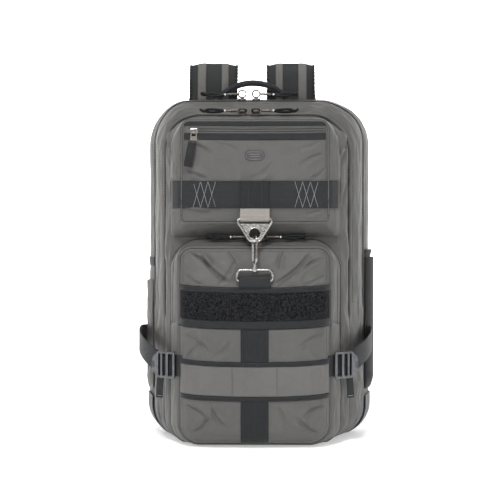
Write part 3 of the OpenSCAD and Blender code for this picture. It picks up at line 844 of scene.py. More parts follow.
def closed_panel(name, grid, material, thick=1.4):
    """A grid with its back side and its rim, so the cloth is a closed solid."""
    rows, cols = grid.shape[:2]
    normals = grid_normals(grid)
    inner = grid - normals * thick
    verts = np.vstack([grid.reshape(-1, 3), inner.reshape(-1, 3)])
    faces = grid_faces(rows, cols)
    back = [tuple(rows * cols + i for i in f[::-1]) for f in faces]
    border = (
        list(range(cols)) + [r * cols + cols - 1 for r in range(1, rows)]
        + [(rows - 1) * cols + c for c in range(cols - 2, -1, -1)] + [r * cols for r in range(rows - 2, 0, -1)]
    )
    rim = [
        (border[(i + 1) % len(border)], border[i], rows * cols + border[i], rows * cols + border[(i + 1) % len(border)])
        for i in range(len(border))
    ]
    return new_object(name, verts, faces + back + rim, material)


def pocket_loop(sections, y, z_lo, z_hi):
    """A pocket's outline at depth y, between two heights, from the lower right round to the lower left."""
    o = outline(*section_at(sections, y), steps=(20, 16, 90, 16, 24))
    path = np.column_stack([o[:, 0], np.full(len(o), y), o[:, 1]])
    return path[(path[:, 2] >= z_lo) & (path[:, 2] <= z_hi)]


def pocket_wall(sections, y_back, y_front, z_lo, z_hi, rows, puff, relief, seed, groove=None):
    """The gusset of a pocket between two heights: rows of equal counts at successive depths."""
    loops = []
    for r in range(rows):
        y = blend_value(y_back, y_front, r / (rows - 1))
        o = outline(*section_at(sections, y), steps=(20, 16, 90, 16, 24))
        loops.append(np.column_stack([o[:, 0], np.full(len(o), y), o[:, 1]]))
    grid = np.array(loops)
    normals = grid_normals(grid, wrap=True)
    flat = grid.reshape(-1, 3)
    t = np.repeat(np.linspace(0, 1, rows), grid.shape[1])
    swell = np.sin(np.pi * t)
    height = (puff * swell + cloth_relief(flat, relief, seed) * swell ** 0.5) * smooth(0.5, 14, flat[:, 2])
    height += 0.7 * fbm(flat, (9, 40, 9), 2, seed + 3) * (1 - swell) * smooth(4, 20, flat[:, 2])
    if sections is UPPER:
        height *= 1 - 0.9 * (1 - smooth(45, 75, np.abs(flat[:, 0]))) * (1 - smooth(300, 312, flat[:, 2]))
        height *= 1 - 0.95 * smooth(320, 328, flat[:, 2]) * (1 - smooth(365, 373, flat[:, 2]))
    if groove is not None:
        height += groove(flat)
    grid = grid + normals * height.reshape(grid.shape[:2])[..., None]
    grid[..., 2] = np.maximum(grid[..., 2], 0.2)
    keep = (grid[0, :, 2] >= z_lo) & (grid[0, :, 2] <= z_hi)
    index = np.flatnonzero(keep)
    if not keep.all() and keep[0]:
        gap_at = int(np.flatnonzero(~keep)[0])
        index = np.concatenate([np.arange(gap_at, grid.shape[1])[keep[gap_at:]], np.arange(gap_at)[keep[:gap_at]]])
    out = grid[:, index]
    if keep.all():
        return np.concatenate([out, out[:, :1]], axis=1)
    out[:, 0, 2] = z_lo if abs(out[0, 0, 2] - z_lo) < abs(out[0, 0, 2] - z_hi) else z_hi
    out[:, -1, 2] = out[:, 0, 2]
    return out


def sag(x):
    """How far the strips across the lower front drop at x: their ends curve up, so this is negative there."""
    return -4.0 * np.clip(np.asarray(x, float) / 104, -1, 1) ** 2


class FrontMap:
    """Depth of a pocket's front as a height map, so that what is sewn on it can lie on it exactly."""

    def __init__(self, sections, first, step, passes, crown, relief):
        self.sec = sections[first][1:]
        self.step = step
        self.x0 = -self.sec[0] - 2
        self.z0 = self.sec[1] - 2
        cols = int((2 * self.sec[0] + 4) / step) + 1
        rows = int((self.sec[2] - self.sec[1] + 4) / step) + 1
        x, z = np.meshgrid(self.x0 + np.arange(cols) * step, self.z0 + np.arange(rows) * step)
        y = front_depth(x, z, sections, first)
        depth_in = np.clip(-inside_distance(x, z, self.sec), 0, 60)
        y = blend_value(y, soften(y, passes), smooth(0, 7, depth_in))
        flat = np.stack([x, y, z], axis=2).reshape(-1, 3)
        inward = depth_in.reshape(-1)
        lift = crown * (1 - np.exp(-inward / 9.0)) + relief(flat) * smooth(0, 11, inward)
        lift += 0.8 * fbm(flat, (9, 9, 9), 2, crown) * np.exp(-((inward - 5) / 5) ** 2)
        self.map = y - lift.reshape(rows, cols)

    def y(self, x, z):
        gx = np.clip((np.asarray(x, float) - self.x0) / self.step, 0, self.map.shape[1] - 1.001)
        gz = np.clip((np.asarray(z, float) - self.z0) / self.step, 0, self.map.shape[0] - 1.001)
        i, j = gx.astype(int), gz.astype(int)
        fx, fz = gx - i, gz - j
        m = self.map
        return (
            m[j, i] * (1 - fx) * (1 - fz) + m[j, i + 1] * fx * (1 - fz)
            + m[j + 1, i] * (1 - fx) * fz + m[j + 1, i + 1] * fx * fz
        )

    def point(self, x, z, out=0.0):
        return np.array([x, float(self.y(x, z)) - out, z])

    def panel(self, name, z_lo, z_hi, cols, rows, material, low_sag=0.0, high_sag=0.0):
        """The front panel's cloth between two heights, as a closed solid."""
        zs = np.linspace(z_lo, z_hi, rows)
        if z_lo <= self.sec[1] + 0.1:
            zs = z_hi - (z_hi - z_lo) * (1 - np.linspace(0, 1, rows) ** 1.4)
        if z_hi >= self.sec[2] - 0.1:
            zs = z_lo + (z_hi - z_lo) * (1 - (1 - np.linspace(0, 1, rows)) ** 1.4)
        u = np.linspace(-1, 1, cols)
        hw = half_width(self.sec, np.clip(zs, self.sec[1] + 0.02, self.sec[2] - 0.02))
        x = hw[:, None] * u[None, :]
        t = np.linspace(0, 1, rows)[:, None]
        z = zs[:, None] - sag(x) * (low_sag * (1 - t) + high_sag * t)
        grid = np.stack([x, self.y(x, z), z], axis=2)
        return closed_panel(name, grid, material)

    def trim(self, x0, x1, z0, z1, thick, lift=0.2, sagging=1.0, step=2.2):
        """A strip of webbing that lies on the front, as (verts, faces)."""
        us, vs = edge_spaced(x0, x1, step), edge_spaced(z0, z1, step)
        x, z = np.meshgrid(us, vs)
        z = z - sagging * sag(x)
        base = np.stack([x, self.y(x, z), z], axis=2)
        normals = grid_normals(base)
        height = np.full(x.shape, thick)
        for k, share in enumerate((0.35, 0.85)):
            for sl in (np.s_[k, :], np.s_[-1 - k, :], np.s_[:, k], np.s_[:, -1 - k]):
                height[sl] = np.minimum(height[sl], thick * share)
        outer = base + normals * (height + lift)[..., None]
        inner = base + normals * (lift - 0.25)
        rows, cols = x.shape
        verts = np.vstack([outer.reshape(-1, 3), inner.reshape(-1, 3)])
        faces = grid_faces(rows, cols)
        back = [tuple(rows * cols + i for i in f[::-1]) for f in faces]
        border = (
            list(range(cols)) + [r * cols + cols - 1 for r in range(1, rows)]
            + [(rows - 1) * cols + c for c in range(cols - 2, -1, -1)] + [r * cols for r in range(rows - 2, 0, -1)]
        )
        rim = [
            (border[(i + 1) % len(border)], border[i], rows * cols + border[i], rows * cols + border[(i + 1) % len(border)])
            for i in range(len(border))
        ]
        return verts, faces + back + rim

    def line(self, points, out, sagging=1.0, step=1.0):
        """A polyline of (x, z) laid on the front, and its normals."""
        p = resample([(x, 0, z) for x, z in points], step)
        z = p[:, 2] - sagging * sag(p[:, 0])
        path = np.column_stack([p[:, 0], self.y(p[:, 0], z) - out, z])
        return path, np.tile([0.0, -1.0, 0.0], (len(path), 1))

    def outline_path(self, z_lo, z_hi, out=0.0, inset=0.0, step=1.5):
        """The panel's outline, inset, with the two heights, the offset and the step passed back as given."""
        hw, z0, z1, rt, rb = self.sec
        o = outline(hw - inset, z0 + inset, z1 - inset, rt - inset, rb - inset, steps=(20, 16, 90, 16, 24))
        return o, z_lo, z_hi, out, step


def border_path(fmap, y, inset, z_lo, z_hi, sagging=0.0):
    """Runs of the panel's outline between two heights."""
    hw, z0, z1, rt, rb = fmap.sec
    o = outline(hw - inset, z0 + inset, z1 - inset, max(rt - inset, 2), max(rb - inset, 2), steps=(30, 20, 140, 20, 30))
    z_cut = -sagging * sag(o[:, 0])
    keep = (o[:, 1] >= z_lo + (z_cut if z_lo > z0 + 1 else 0)) & (o[:, 1] <= z_hi + (z_cut if z_hi < z1 - 1 else 0))
    index = np.flatnonzero(keep)
    if keep[0] and not keep.all():
        first_gap = int(np.flatnonzero(~keep)[0])
        order = np.concatenate([np.arange(first_gap, len(o)), np.arange(first_gap)])
        index = order[keep[order]]
    p = o[index]
    return np.column_stack([p[:, 0], np.full(len(p), y), p[:, 1]])


# Folds that run from the corners and from the snap hook's loop: start, end, width, depth, bow
LOWER_FOLDS = [
    ((-92, 268), (-60, 246), 9, 2.6, 3), ((-78, 271), (-30, 223), 11, 2.8, -5), ((-40, 271), (-22, 240), 10, 1.6, 2),
    ((78, 270), (24, 221), 12, 3.2, 5), ((96, 261), (52, 234), 10, 2.6, -3), ((40, 271), (30, 244), 9, 1.6, -2),
    ((97, 238), (62, 222), 8, 1.8, 2), ((-95, 240), (-72, 223), 8, 2.2, -2), ((-25, 262), (-50, 222), 9, 1.5, 3),
    ((-98, 158), (-60, 128), 12, 2.2, 4), ((-30, 150), (-60, 122), 12, 1.4, 3), ((96, 158), (58, 132), 12, 1.8, -4),
    ((-98, 118), (-66, 150), 9, 1.2, 2), ((98, 120), (70, 140), 8, 1.0, 2),
    ((-97, 60), (-62, 34), 12, 2.4, 5), ((-60, 60), (-40, 28), 12, 1.8, -3), ((97, 58), (66, 40), 12, 2.4, -4),
    ((88, 20), (56, 44), 10, 2.0, 3), ((-86, 22), (-60, 46), 10, 1.8, -3), ((30, 60), (44, 26), 11, 1.4, 2),
]
UPPER_FOLDS = [
    ((99, 386), (76, 367), 9, 2.2, 2), ((98, 404), (60, 384), 11, 1.6, -3), ((-98, 420), (-58, 398), 12, 1.8, 4),
    ((-96, 384), (-64, 368), 9, 1.8, -2), ((26, 392), (-8, 368), 14, 1.2, 4), ((98, 326), (70, 318), 8, 1.6, 0),
    ((-98, 326), (-60, 321), 9, 1.8, 0), ((-60, 420), (-20, 404), 12, 0.9, 2), ((92, 420), (56, 408), 12, 1.2, 2),
]


def folded(folds, amount, seed):
    """Relief of a panel: its named folds and small irregular ones."""
    def relief(p):
        h = amount * fbm(p, (34, 34, 30), 3, seed)
        for start, end, width, depth, bow in folds:
            h = h + crease(p, start, end, width * 0.8, depth * 1.9, bow=bow)
        return h
    return relief


lower_map = FrontMap(LOWER, 1, 1.25, 10, 3.0, folded(LOWER_FOLDS, 2.9, 3.1))
upper_map = FrontMap(UPPER, 1, 1.25, 4, 2.2, folded(UPPER_FOLDS, 2.1, 8.4))


def build_body():
    """The four walls round the body, split where the zips open."""
    def shoulder_folds(p):
        """Deep folds beside the upper pocket, where the front's corners are pulled in."""
        h = np.zeros(len(p))
        for side in (-1, 1):
            q = p * np.array([side, 1, 1])
            for start, end, width, depth, bow in (
                ((121, 408), (131, 436), 7, 6.0, 1), ((112, 452), (134, 432), 8, 4.5, 3), ((116, 384), (124, 412), 8, 3.5, 0),
                ((120, 330), (126, 368), 8, 2.6, 1), ((118, 300), (124, 250), 8, 2.4, -1),
            ):
                h += crease(q, start, end, width, depth, bow=bow) * (q[:, 0] > 60)
        return h

    rear = wall_band(
        lambda z: 59.5, lambda z: MAIN_ZIP_Y + 0.3 + 4.0 * zip_opening(z), 22, 0.4, 1.3, 1.7)
    finish_piece(ring_object("rear_wall", rear, NYLON), "pack", "nylon", "rear_gusset")
    mid = wall_band(
        lambda z: MAIN_ZIP_Y - 0.3 - 4.0 * zip_opening(z), lambda z: SECOND_ZIP_Y + 0.3 + 3.6 * zip_opening(z),
        26, 2.0, 3.4, 5.2)
    mid_obj = ring_object("mid_wall", mid, NYLON)
    mid_obj.data.materials.append(PATCH)
    for polygon in mid_obj.data.polygons:
        c = polygon.center / MM
        if c.z < 58 and abs(c.x) > 112 and c.y > -12:
            polygon.material_index = 1
    lean_to_side(mid_obj)
    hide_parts("mid_gusset")
    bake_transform(mid_obj)

    front = wall_band(
        lambda z: SECOND_ZIP_Y - 0.3 - 3.6 * zip_opening(z), lambda z: FRONT_Y, 14, 1.2, 2.6, 9.1, shoulder_folds)
    for name, body, low, node in (
        ("front_wall", "front_section", False, "front_cover"), ("base_wall", "pack", True, "base_tub"),
    ):
        rows, cols = front.shape[:2]
        faces = []
        for f in grid_faces(rows, cols, wrap=True):
            r, c = divmod(f[0], cols)
            below = front[2, c, 2] < FOLD_Z and front[2, (c + 1) % cols, 2] < FOLD_Z + 3
            if below == low:
                faces.append(f[::-1])
        finish_piece(new_object(name, front.reshape(-1, 3), faces, NYLON), body, "nylon", node)

    cover = FrontMap([(FRONT_Y, HALF_W - 41, 0.0, TOP_Z - 36, 46, 30)] * 1 + [(FRONT_Y - 0.5, 100, 8, 430, 46, 30)],
                     0, 3.0, 2, 0.3, lambda p: 0.5 * fbm(p, (40, 40, 60), 2, 2.0))
    finish_piece(cover.panel("front_panel", FOLD_Z + 0.3, TOP_Z - 36, 60, 90, NYLON), "front_section", "nylon")
    finish_piece(cover.panel("base_panel", 0, FOLD_Z, 60, 50, LINING), "pack", "lining")

    for name, y, side, body, node in (
        ("main_zip_back", MAIN_ZIP_Y, 1, "pack", "main_zip_rear"), ("main_zip_front", MAIN_ZIP_Y, -1, "mid_section", "mid_zip_halves"),
        ("second_zip_back", SECOND_ZIP_Y, 1, "mid_section", None), ("second_zip_front", SECOND_ZIP_Y, -1, "front_section", "second_zip_front"),
    ):
        zip_side(name, y, side, ZIP_END_Z - 4, body, node)
    for name, y, body in (
        ("rear_wall_stitches", MAIN_ZIP_Y + 8.5, "pack"), ("mid_wall_stitches_back", MAIN_ZIP_Y - 8.5, "mid_section"),
        ("mid_wall_stitches_front", SECOND_ZIP_Y + 8, "mid_section"), ("front_wall_stitches", SECOND_ZIP_Y - 8, "front_section"),
    ):
        p, n = loop_on_body(y, -1.4, ZIP_END_Z + 10, 1.0)
        finish_piece(join_meshes(name, stitch_parts(p, n, 2.6, 4.2, 0.32), DARK_THREAD_AND_SHADE), body, "nylon")


def zip_side(name, y, side, z_from, body, node):
    """The tape and the coil on one side of a long zip."""
    inset = 1.5
    p, n = loop_on_body(y + side * 2.4, inset, z_from, 1.5)
    ring = [p + np.array([0, side * dy, 0]) + n * dn for dy, dn in
            ((-2.3, 0.0), (2.9, 0.0), (2.9, -0.5), (-2.3, -0.5), (-2.3, 0.0))]
    tape = join_meshes(name + "_tape", [(np.array(ring).reshape(-1, 3), grid_faces(5, len(p)))], ZIP_TAPE)
    nodes = [node] if node else []
    finish_piece(tape, body, "zip_tape", *nodes)
    q, m = loop_on_body(y, inset - 0.6, z_from, 0.48)
    finish_piece(join_meshes(name + "_coil", [coil(q, m, side * 0.75)], COIL), body, "zip_tape")


def pocket_gusset(name, sections, y0, y1, z_lo, z_hi, rows, body, relief, seed, nodes=(), groove=None, material=None):
    grid = pocket_wall(sections, y0, y1, z_lo, z_hi, rows, 1.6, relief, seed, groove)
    rows, cols = grid.shape[:2]
    faces = [f[::-1] for f in grid_faces(rows, cols)]
    obj = new_object(name, grid.reshape(-1, 3), faces, material or NYLON)
    thicken(obj, 1.2, even=False)
    return finish_piece(obj, body, "nylon", *nodes)


def build_pockets():
    """Upper and lower front pockets: gussets, panels, piping, and dark cords of painted shade along the piping."""
    def zip_groove(p):
        near = 1 - smooth(3.2, 4.6, np.abs(p[:, 1] + 80))
        return -1.5 * near * smooth(150, 168, p[:, 2])

    pocket_gusset("lower_pocket_gusset", LOWER, -65.3, -100, FOLD_Z + 4.2, 290, 27, "front_section", 1.9, 4.4,
                  ("lower_pocket",), zip_groove)
    pocket_gusset("base_pocket_gusset", LOWER, -65.3, -100, -1, FOLD_Z + 3.8, 27, "pack", 1.9, 4.4, ("base_pocket",))
    pocket_gusset("upper_pocket_gusset", UPPER, -65.3, -90, 200, 460, 20, "front_section", 3.0, 7.7, ("upper_pocket",))
    finish_piece(lower_map.panel("lower_pocket_panel", FOLD_Z + 0.4, 274, 170, 110, NYLON, low_sag=1.0),
                 "front_section", "nylon")
    finish_piece(lower_map.panel("base_pocket_panel", 4, FOLD_Z, 170, 150, NYLON, high_sag=1.0), "pack", "nylon")
    finish_piece(upper_map.panel("upper_pocket_panel", 309, 448, 170, 120, NYLON), "front_section", "nylon")

    for name, z_lo, z_hi, body in (("lower_piping", FOLD_Z + 4.2, 400, "front_section"), ("base_piping", -10, FOLD_Z + 3.8, "pack")):
        path = border_path(lower_map, -100.6, 0.0, z_lo, z_hi)
        seam_cord(name, [path], 1.7, NYLON, body)
        inner = border_path(lower_map, 0, 5.5, z_lo, z_hi)
        inner[:, 1] = lower_map.y(inner[:, 0], inner[:, 2]) - 0.1
        p = resample(inner, 1.0)
        finish_piece(join_meshes(name + "_stitches", stitch_parts(p, np.tile([0, -1, 0], (len(p), 1)), 2.2, 3.4, 0.3),
                                 DARK_THREAD_AND_SHADE), body, "nylon")
        rear = np.column_stack([*pocket_outline(LOWER, -67.5, z_lo, z_hi)])
        seam_cord(name + "_rear", [rear], 1.8, NYLON, body)
        # Painted shade: dark cords in the dark thread's colour run just outside the piping, just inside it on the
        # panel, and where the pocket meets the body, standing for the shade in these joins.
        shade = border_path(lower_map, -99.4, -1.5, z_lo, z_hi)
        shade_in = border_path(lower_map, -100.6, 1.9, z_lo, z_hi)
        behind = np.column_stack(pocket_outline(LOWER, -65.4, z_lo, z_hi))
        out = behind - np.array([0, 0, 140])
        out[:, 1] = 0
        behind += out / np.linalg.norm(out, axis=1, keepdims=True) * 1.6
        seam_cord(name + "_painted_shade_cord", [shade, shade_in, behind], 1.1, DARK_THREAD_AND_SHADE, body)
    path = border_path(upper_map, -90.7, 0.0, 318, 500)
    seam_cord("upper_piping", [path], 1.2, NYLON, "front_section")
    # Painted shade: a dark cord just outside the upper piping stands for the shade in the join.
    shade = border_path(upper_map, -89.6, -1.3, 316, 500)
    seam_cord("upper_piping_painted_shade_cord", [shade], 1.0, DARK_THREAD_AND_SHADE, "front_section")
    inner = border_path(upper_map, 0, 3.6, 322, 500)
    inner[:, 1] = upper_map.y(inner[:, 0], inner[:, 2]) - 0.1
    p = resample(inner, 1.0)
    finish_piece(join_meshes("upper_piping_stitches", stitch_parts(p, np.tile([0, -1, 0], (len(p), 1)), 2.2, 3.4, 0.26),
                             DARK_THREAD_AND_SHADE), "front_section", "nylon")

    # Lower pocket's zip, in the groove of its gusset
    for side in (-1, 1):
        path = pocket_outline(LOWER, -80 + side * 0.8, FOLD_Z + 4, 400)
        p = resample(np.column_stack([*path]), 0.5)
        tangent = np.gradient(p, axis=0)
        n = np.column_stack([tangent[:, 2], np.zeros(len(p)), -tangent[:, 0]])
        n /= np.linalg.norm(n, axis=1, keepdims=True)
        teeth = coil(p - n * 0.7, n, 0.0)
        finish_piece(join_meshes(f"lower_zip_coil_{'back' if side > 0 else 'front'}", [teeth], COIL),
                     "front_section", "zip_tape")
    tape = resample(np.column_stack([*pocket_outline(LOWER, -80, FOLD_Z + 4, 400)]), 2.0)
    tangent = np.gradient(tape, axis=0)
    n = np.column_stack([tangent[:, 2], np.zeros(len(tape)), -tangent[:, 0]])
    n /= np.linalg.norm(n, axis=1, keepdims=True)
    ring = [tape + np.array([0, dy, 0]) + n * dn for dy, dn in
            ((-3.6, -1.3), (3.6, -1.3), (3.6, -1.7), (-3.6, -1.7), (-3.6, -1.3))]
    obj = join_meshes("lower_zip_tape", [(np.array(ring).reshape(-1, 3), grid_faces(5, len(tape)))], ZIP_TAPE)
    finish_piece(obj, "front_section", "zip_tape", "lower_zip")


def pocket_outline(sections, y, z_lo, z_hi):
    """Columns of x, y and z of a pocket's outline at depth y, between two heights."""
    hw, z0, z1, rt, rb = section_at(sections, y)
    o = outline(hw, z0, z1, rt, rb, steps=(30, 20, 140, 20, 30))
    keep = (o[:, 1] >= z_lo) & (o[:, 1] <= z_hi)
    index = np.flatnonzero(keep)
    if keep[0] and not keep.all():
        first_gap = int(np.flatnonzero(~keep)[0])
        order = np.concatenate([np.arange(first_gap, len(o)), np.arange(first_gap)])
        index = order[keep[order]]
    p = o[index]
    return p[:, 0], np.full(len(p), y), p[:, 1]


def build_trims():
    """Tape, webbing and loop pile across the fronts."""
    def piece(name, parts, material, body, slot, *nodes):
        return finish_piece(join_meshes(name, parts, material), body, slot, *nodes)

    m = lower_map
    piece("tape_across", [m.trim(-101, 101, 71.4, 111.6, 1.0)], NYLON_TAPE, "pack", "tape", "base_tape")
    piece("strips_across", [m.trim(-101, 101, 112, 118.5, 1.5), m.trim(-101, 101, 64.5, 71, 1.5)], BLACK_TAPE, "pack",
          "webbing", "base_strips")
    piece("upright_webbing", [m.trim(-19, 19, 118.3, FOLD_Z - 0.4, 1.2), m.trim(-19, 19, 4.6, 64.8, 1.2)], BLACK_WEB_UP,
          "pack", "webbing")
    piece("loop_pile_panel", [m.trim(-101, -33.4, 174.2, 211.8, 2.0), m.trim(-33, 33, 174.2, 211.8, 2.0),
                              m.trim(33.4, 101, 174.2, 211.8, 2.0)], VELCRO, "front_section", "hook_and_loop", "velcro_panel")
    piece("pile_strips", [m.trim(-101, 101, FOLD_Z + 0.4, 174.4, 1.4), m.trim(-103, 103, 211.6, 220, 1.4)], BLACK_TAPE,
          "front_section", "webbing", "velcro_strips")
    stitches = []
    for z in (65.6, 69.8, 113, 117.4):
        stitches += stitch_parts(*m.line([(-99, z), (99, z)], 1.75), 2.2, 3.2, 0.26)
    for x in (-30.5, 30.5):
        stitches += stitch_parts(*m.line([(x, 66), (x, 117)], 1.4), 2.2, 3.2, 0.3)
    piece("tape_stitches", stitches, DARK_THREAD_AND_SHADE, "pack", "webbing")
    stitches = []
    for z in (FOLD_Z + 2, 172.6, 213.4, 218.4):
        stitches += stitch_parts(*m.line([(-99, z), (99, z)], 1.75), 2.2, 3.2, 0.26)
    piece("pile_stitches", stitches, DARK_THREAD_AND_SHADE, "front_section", "webbing")



# ---------------------------------------------------------------------------
# Webbing, bands and loops
# ---------------------------------------------------------------------------


def ribbon(path, across, width, thick, crown=0.0, cols=10, taper=None):
    """A flat strap along a path: across is a unit vector per point or one for all; edges are rounded."""
    p = np.asarray(path, float)
    n = len(p)
    a = np.broadcast_to(np.asarray(across, float), p.shape).copy()
    t = np.gradient(p, axis=0)
    t /= np.maximum(np.linalg.norm(t, axis=1, keepdims=True), 1e-9)
    a -= t * np.sum(a * t, axis=1, keepdims=True)
    a /= np.linalg.norm(a, axis=1, keepdims=True)
    up = np.cross(t, a)
    u = np.concatenate([[-1, -0.985], np.linspace(-0.95, 0.95, cols), [0.985, 1]])
    h = thick / 2 * np.where(np.abs(u) > 0.99, 0.35, np.where(np.abs(u) > 0.96, 0.85, 1.0)) + crown * (1 - u ** 2)
    low = -thick / 2 * np.where(np.abs(u) > 0.99, 0.35, np.where(np.abs(u) > 0.96, 0.85, 1.0)) - crown * (1 - u ** 2)
    section = list(zip(u, h)) + list(zip(u[::-1], low[::-1]))
    m = len(section)
    w = np.full(n, width / 2) if taper is None else width / 2 * np.asarray(taper)
    verts = np.concatenate([[p[i] + a[i] * s * w[i] + up[i] * q for s, q in section] for i in range(n)])
    faces = [f[::-1] for f in grid_faces(n, m, wrap=True)]
    faces += [tuple(range(m)), tuple((n - 1) * m + k for k in range(m))[::-1]]
    return verts, faces


def zigzag(x0, x1, z0, z1, count, start_low):
    """Corner points of a zigzag of stitching between two heights."""
    return [(blend_value(x0, x1, i / count), z0 if (i % 2 == 0) == start_low else z1) for i in range(count + 1)]


def build_upper_front():
    """Zip with its tapes, bands and stitches, and the badge, on the upper pocket."""
    m = upper_map
    tapes = [m.trim(-97.5, 97.5, 440.4, 446.6, 1.1, sagging=0.2), m.trim(-97.5, 97.5, 421.0, 430.0, 1.1, sagging=0.3)]
    finish_piece(join_meshes("upper_zip_bands", tapes, BLACK_TAPE), "front_section", "webbing")
    stitches = []
    for z in (441.6, 445.4, 422.2, 428.9):
        stitches += stitch_parts(*m.line([(-95, z), (95, z)], 1.35, sagging=0.25), 2.2, 3.2, 0.24)
    finish_piece(join_meshes("upper_zip_band_stitches", stitches, DARK_THREAD_AND_SHADE), "front_section", "webbing")
    zip_tape = [m.trim(-93.5, 95.5, 430.4, 440.0, 0.3, sagging=0.25)]
    finish_piece(join_meshes("upper_zip_tape", zip_tape, NYLON_TAPE), "front_section", "zip_tape", "upper_zip")
    lips = []
    for z in (439.4, 431.0):
        path, _ = m.line([(-93, z), (95, z)], 0.7, sagging=0.25, step=2.0)
        lips.append(sweep(path, 0.8, sides=8, flat=1.0))
    finish_piece(join_meshes("upper_zip_lips", lips, NYLON), "front_section", "nylon")
    rows = []
    for z, shift in ((436.5, 0.0), (433.3, 0.95)):
        path, normals = m.line([(-91 + shift, z), (95, z)], 0.9, sagging=0.25, step=0.48)
        rows.append(coil(path, normals, 0.0, 0.75, 1.9))
    finish_piece(join_meshes("upper_zip_coil", rows, COIL), "front_section", "zip_tape")

    centre = m.point(0, 400)
    face = Matrix.Translation(Vector((0, centre[1] - 0.9, 400)) * MM) @ Matrix.Rotation(math.radians(90), 4, "X")
    outer = rounded_polygon([(-13.5, -7), (13.5, -7), (13.5, 7), (-13.5, 7)], 6)
    badge = plate("badge_plate", [outer], 1.6, 0.5, BADGE, face)
    finish_piece(badge, "front_section", "badge", "badge")
    rim = [(x, y) for x, y in rounded_polygon([(-11.6, -5.1), (11.6, -5.1), (11.6, 5.1), (-11.6, 5.1)], 4.4)]
    path = np.array([(x, centre[1] - 1.75, 400 + y) for x, y in rim + rim[:1]])
    bars = [sweep(path, 0.55, sides=8)]
    for z in (-1.6, 1.6):
        bars.append(sweep(resample([(-8, centre[1] - 1.7, 400 + z), (8, centre[1] - 1.7, 400 + z)], 2), 0.6, sides=8))
    finish_piece(join_meshes("badge_rim", bars, GUNMETAL), "front_section", "badge")


def band_path(z, thick):
    """The wide band's line at height z: from the left side of the pocket across its front to the right side."""
    side = []
    for y in np.linspace(-72, -88, 10):
        hw = half_width(section_at(UPPER, y), np.array([z]))[0]
        side.append((hw + 2.2, y))
    front = [(x, float(upper_map.y(x, z)) - 0.4) for x in np.linspace(99.5, 0, 50)]
    right = np.array(side + front)
    left = right[:-1][::-1] * np.array([-1, 1])
    pts = np.vstack([right, left])[::-1]
    p = resample(np.column_stack([pts[:, 0], pts[:, 1], np.full(len(pts), z)]), 2.0)
    return p


def build_band():
    """The wide webbing band with its centre patch and its light bar tacks."""
    zs = edge_spaced(327.6, 365.4, 2.0)
    rows = [band_path(z, 1.4) for z in zs]
    count = min(len(r) for r in rows)
    grid = np.array([resample_count(r, count) for r in rows])
    for _ in range(3):
        grid[:, 1:-1] = (grid[:, :-2] + 2 * grid[:, 1:-1] + grid[:, 2:]) / 4
    parts = [strip_solid(grid, 1.5, 0.25)]
    finish_piece(join_meshes("wide_band", parts, BLACK_WEB), "front_section", "webbing", "web_band")
    mid = slice_by_x(grid, -22.5, 22.5)
    finish_piece(join_meshes("wide_band_patch", [strip_solid(mid, 1.3, 1.85)], BLACK_WEB_UP), "front_section", "webbing")

    def on_band(points, out):
        p = resample([(x, 0, z) for x, z in points], 1.0)
        p[:, 1] = upper_map.y(p[:, 0], p[:, 2]) - out
        return p, np.tile([0.0, -1.0, 0.0], (len(p), 1))

    light = []
    for x0, x1 in ((-85, -54), (55, 87)):
        for low in (True, False):
            light += stitch_parts(*on_band(zigzag(x0, x1, 328.8, 364.2, 3, low), 2.25), 2.7, 3.0, 0.3)
    finish_piece(join_meshes("wide_band_tacks", light, THREAD_LIGHT), "front_section", "webbing")
    dark = []
    for z in (329.0, 364.0):
        dark += stitch_parts(*on_band([(-96, z), (96, z)], 2.2), 2.2, 3.3, 0.26)
    for x in (-21, 21, -9, 9):
        dark += stitch_parts(*on_band([(x, 329), (x, 364)], 3.6), 2.2, 3.3, 0.26)
    finish_piece(join_meshes("wide_band_stitches", dark, DARK_THREAD_AND_SHADE), "front_section", "webbing")


def resample_count(path, count):
    p = np.asarray(path, float)
    s = np.concatenate([[0], np.cumsum(np.linalg.norm(np.diff(p, axis=0), axis=1))])
    t = np.linspace(0, s[-1], count)
    return np.stack([np.interp(t, s, p[:, k]) for k in range(3)], axis=1)


def slice_by_x(grid, x0, x1):
    mid = grid[len(grid) // 2]
    cols = np.flatnonzero((mid[:, 0] >= x0) & (mid[:, 0] <= x1))
    return grid[:, cols]


def strip_solid(grid, thick, lift):
    """A closed strip over a grid of points, with rounded borders."""
    normals = grid_normals(grid)
    rows, cols = grid.shape[:2]
    height = np.full((rows, cols), float(thick))
    for k, share in enumerate((0.35, 0.85)):
        for sl in (np.s_[k, :], np.s_[-1 - k, :], np.s_[:, k], np.s_[:, -1 - k]):
            height[sl] = np.minimum(height[sl], thick * share)
    outer = grid + normals * (height + lift)[..., None]
    inner = grid + normals * (lift - 0.25)
    faces = grid_faces(rows, cols)
    back = [tuple(rows * cols + i for i in f[::-1]) for f in faces]
    border = border_indices(rows, cols)
    rim = [(border[(i + 1) % len(border)], border[i], rows * cols + border[i], rows * cols + border[(i + 1) % len(border)])
           for i in range(len(border))]
    return np.vstack([outer.reshape(-1, 3), inner.reshape(-1, 3)]), faces + back + rim


def border_indices(rows, cols):
    return (
        list(range(cols)) + [r * cols + cols - 1 for r in range(1, rows)]
        + [(rows - 1) * cols + c for c in range(cols - 2, -1, -1)] + [r * cols for r in range(rows - 2, 0, -1)]
    )


# ---------------------------------------------------------------------------
# Ring, snap hook and their webbing
# ---------------------------------------------------------------------------

RING_BAR = (-101.6, 313.0)
RING_LEAN = math.radians(-18)
BASE_BAR = (-124.767, 229.192)
HOOK_TILT = math.radians(14)


def turned(matrix, points):
    return np.array([matrix @ Vector(p) for p in np.asarray(points, float)])


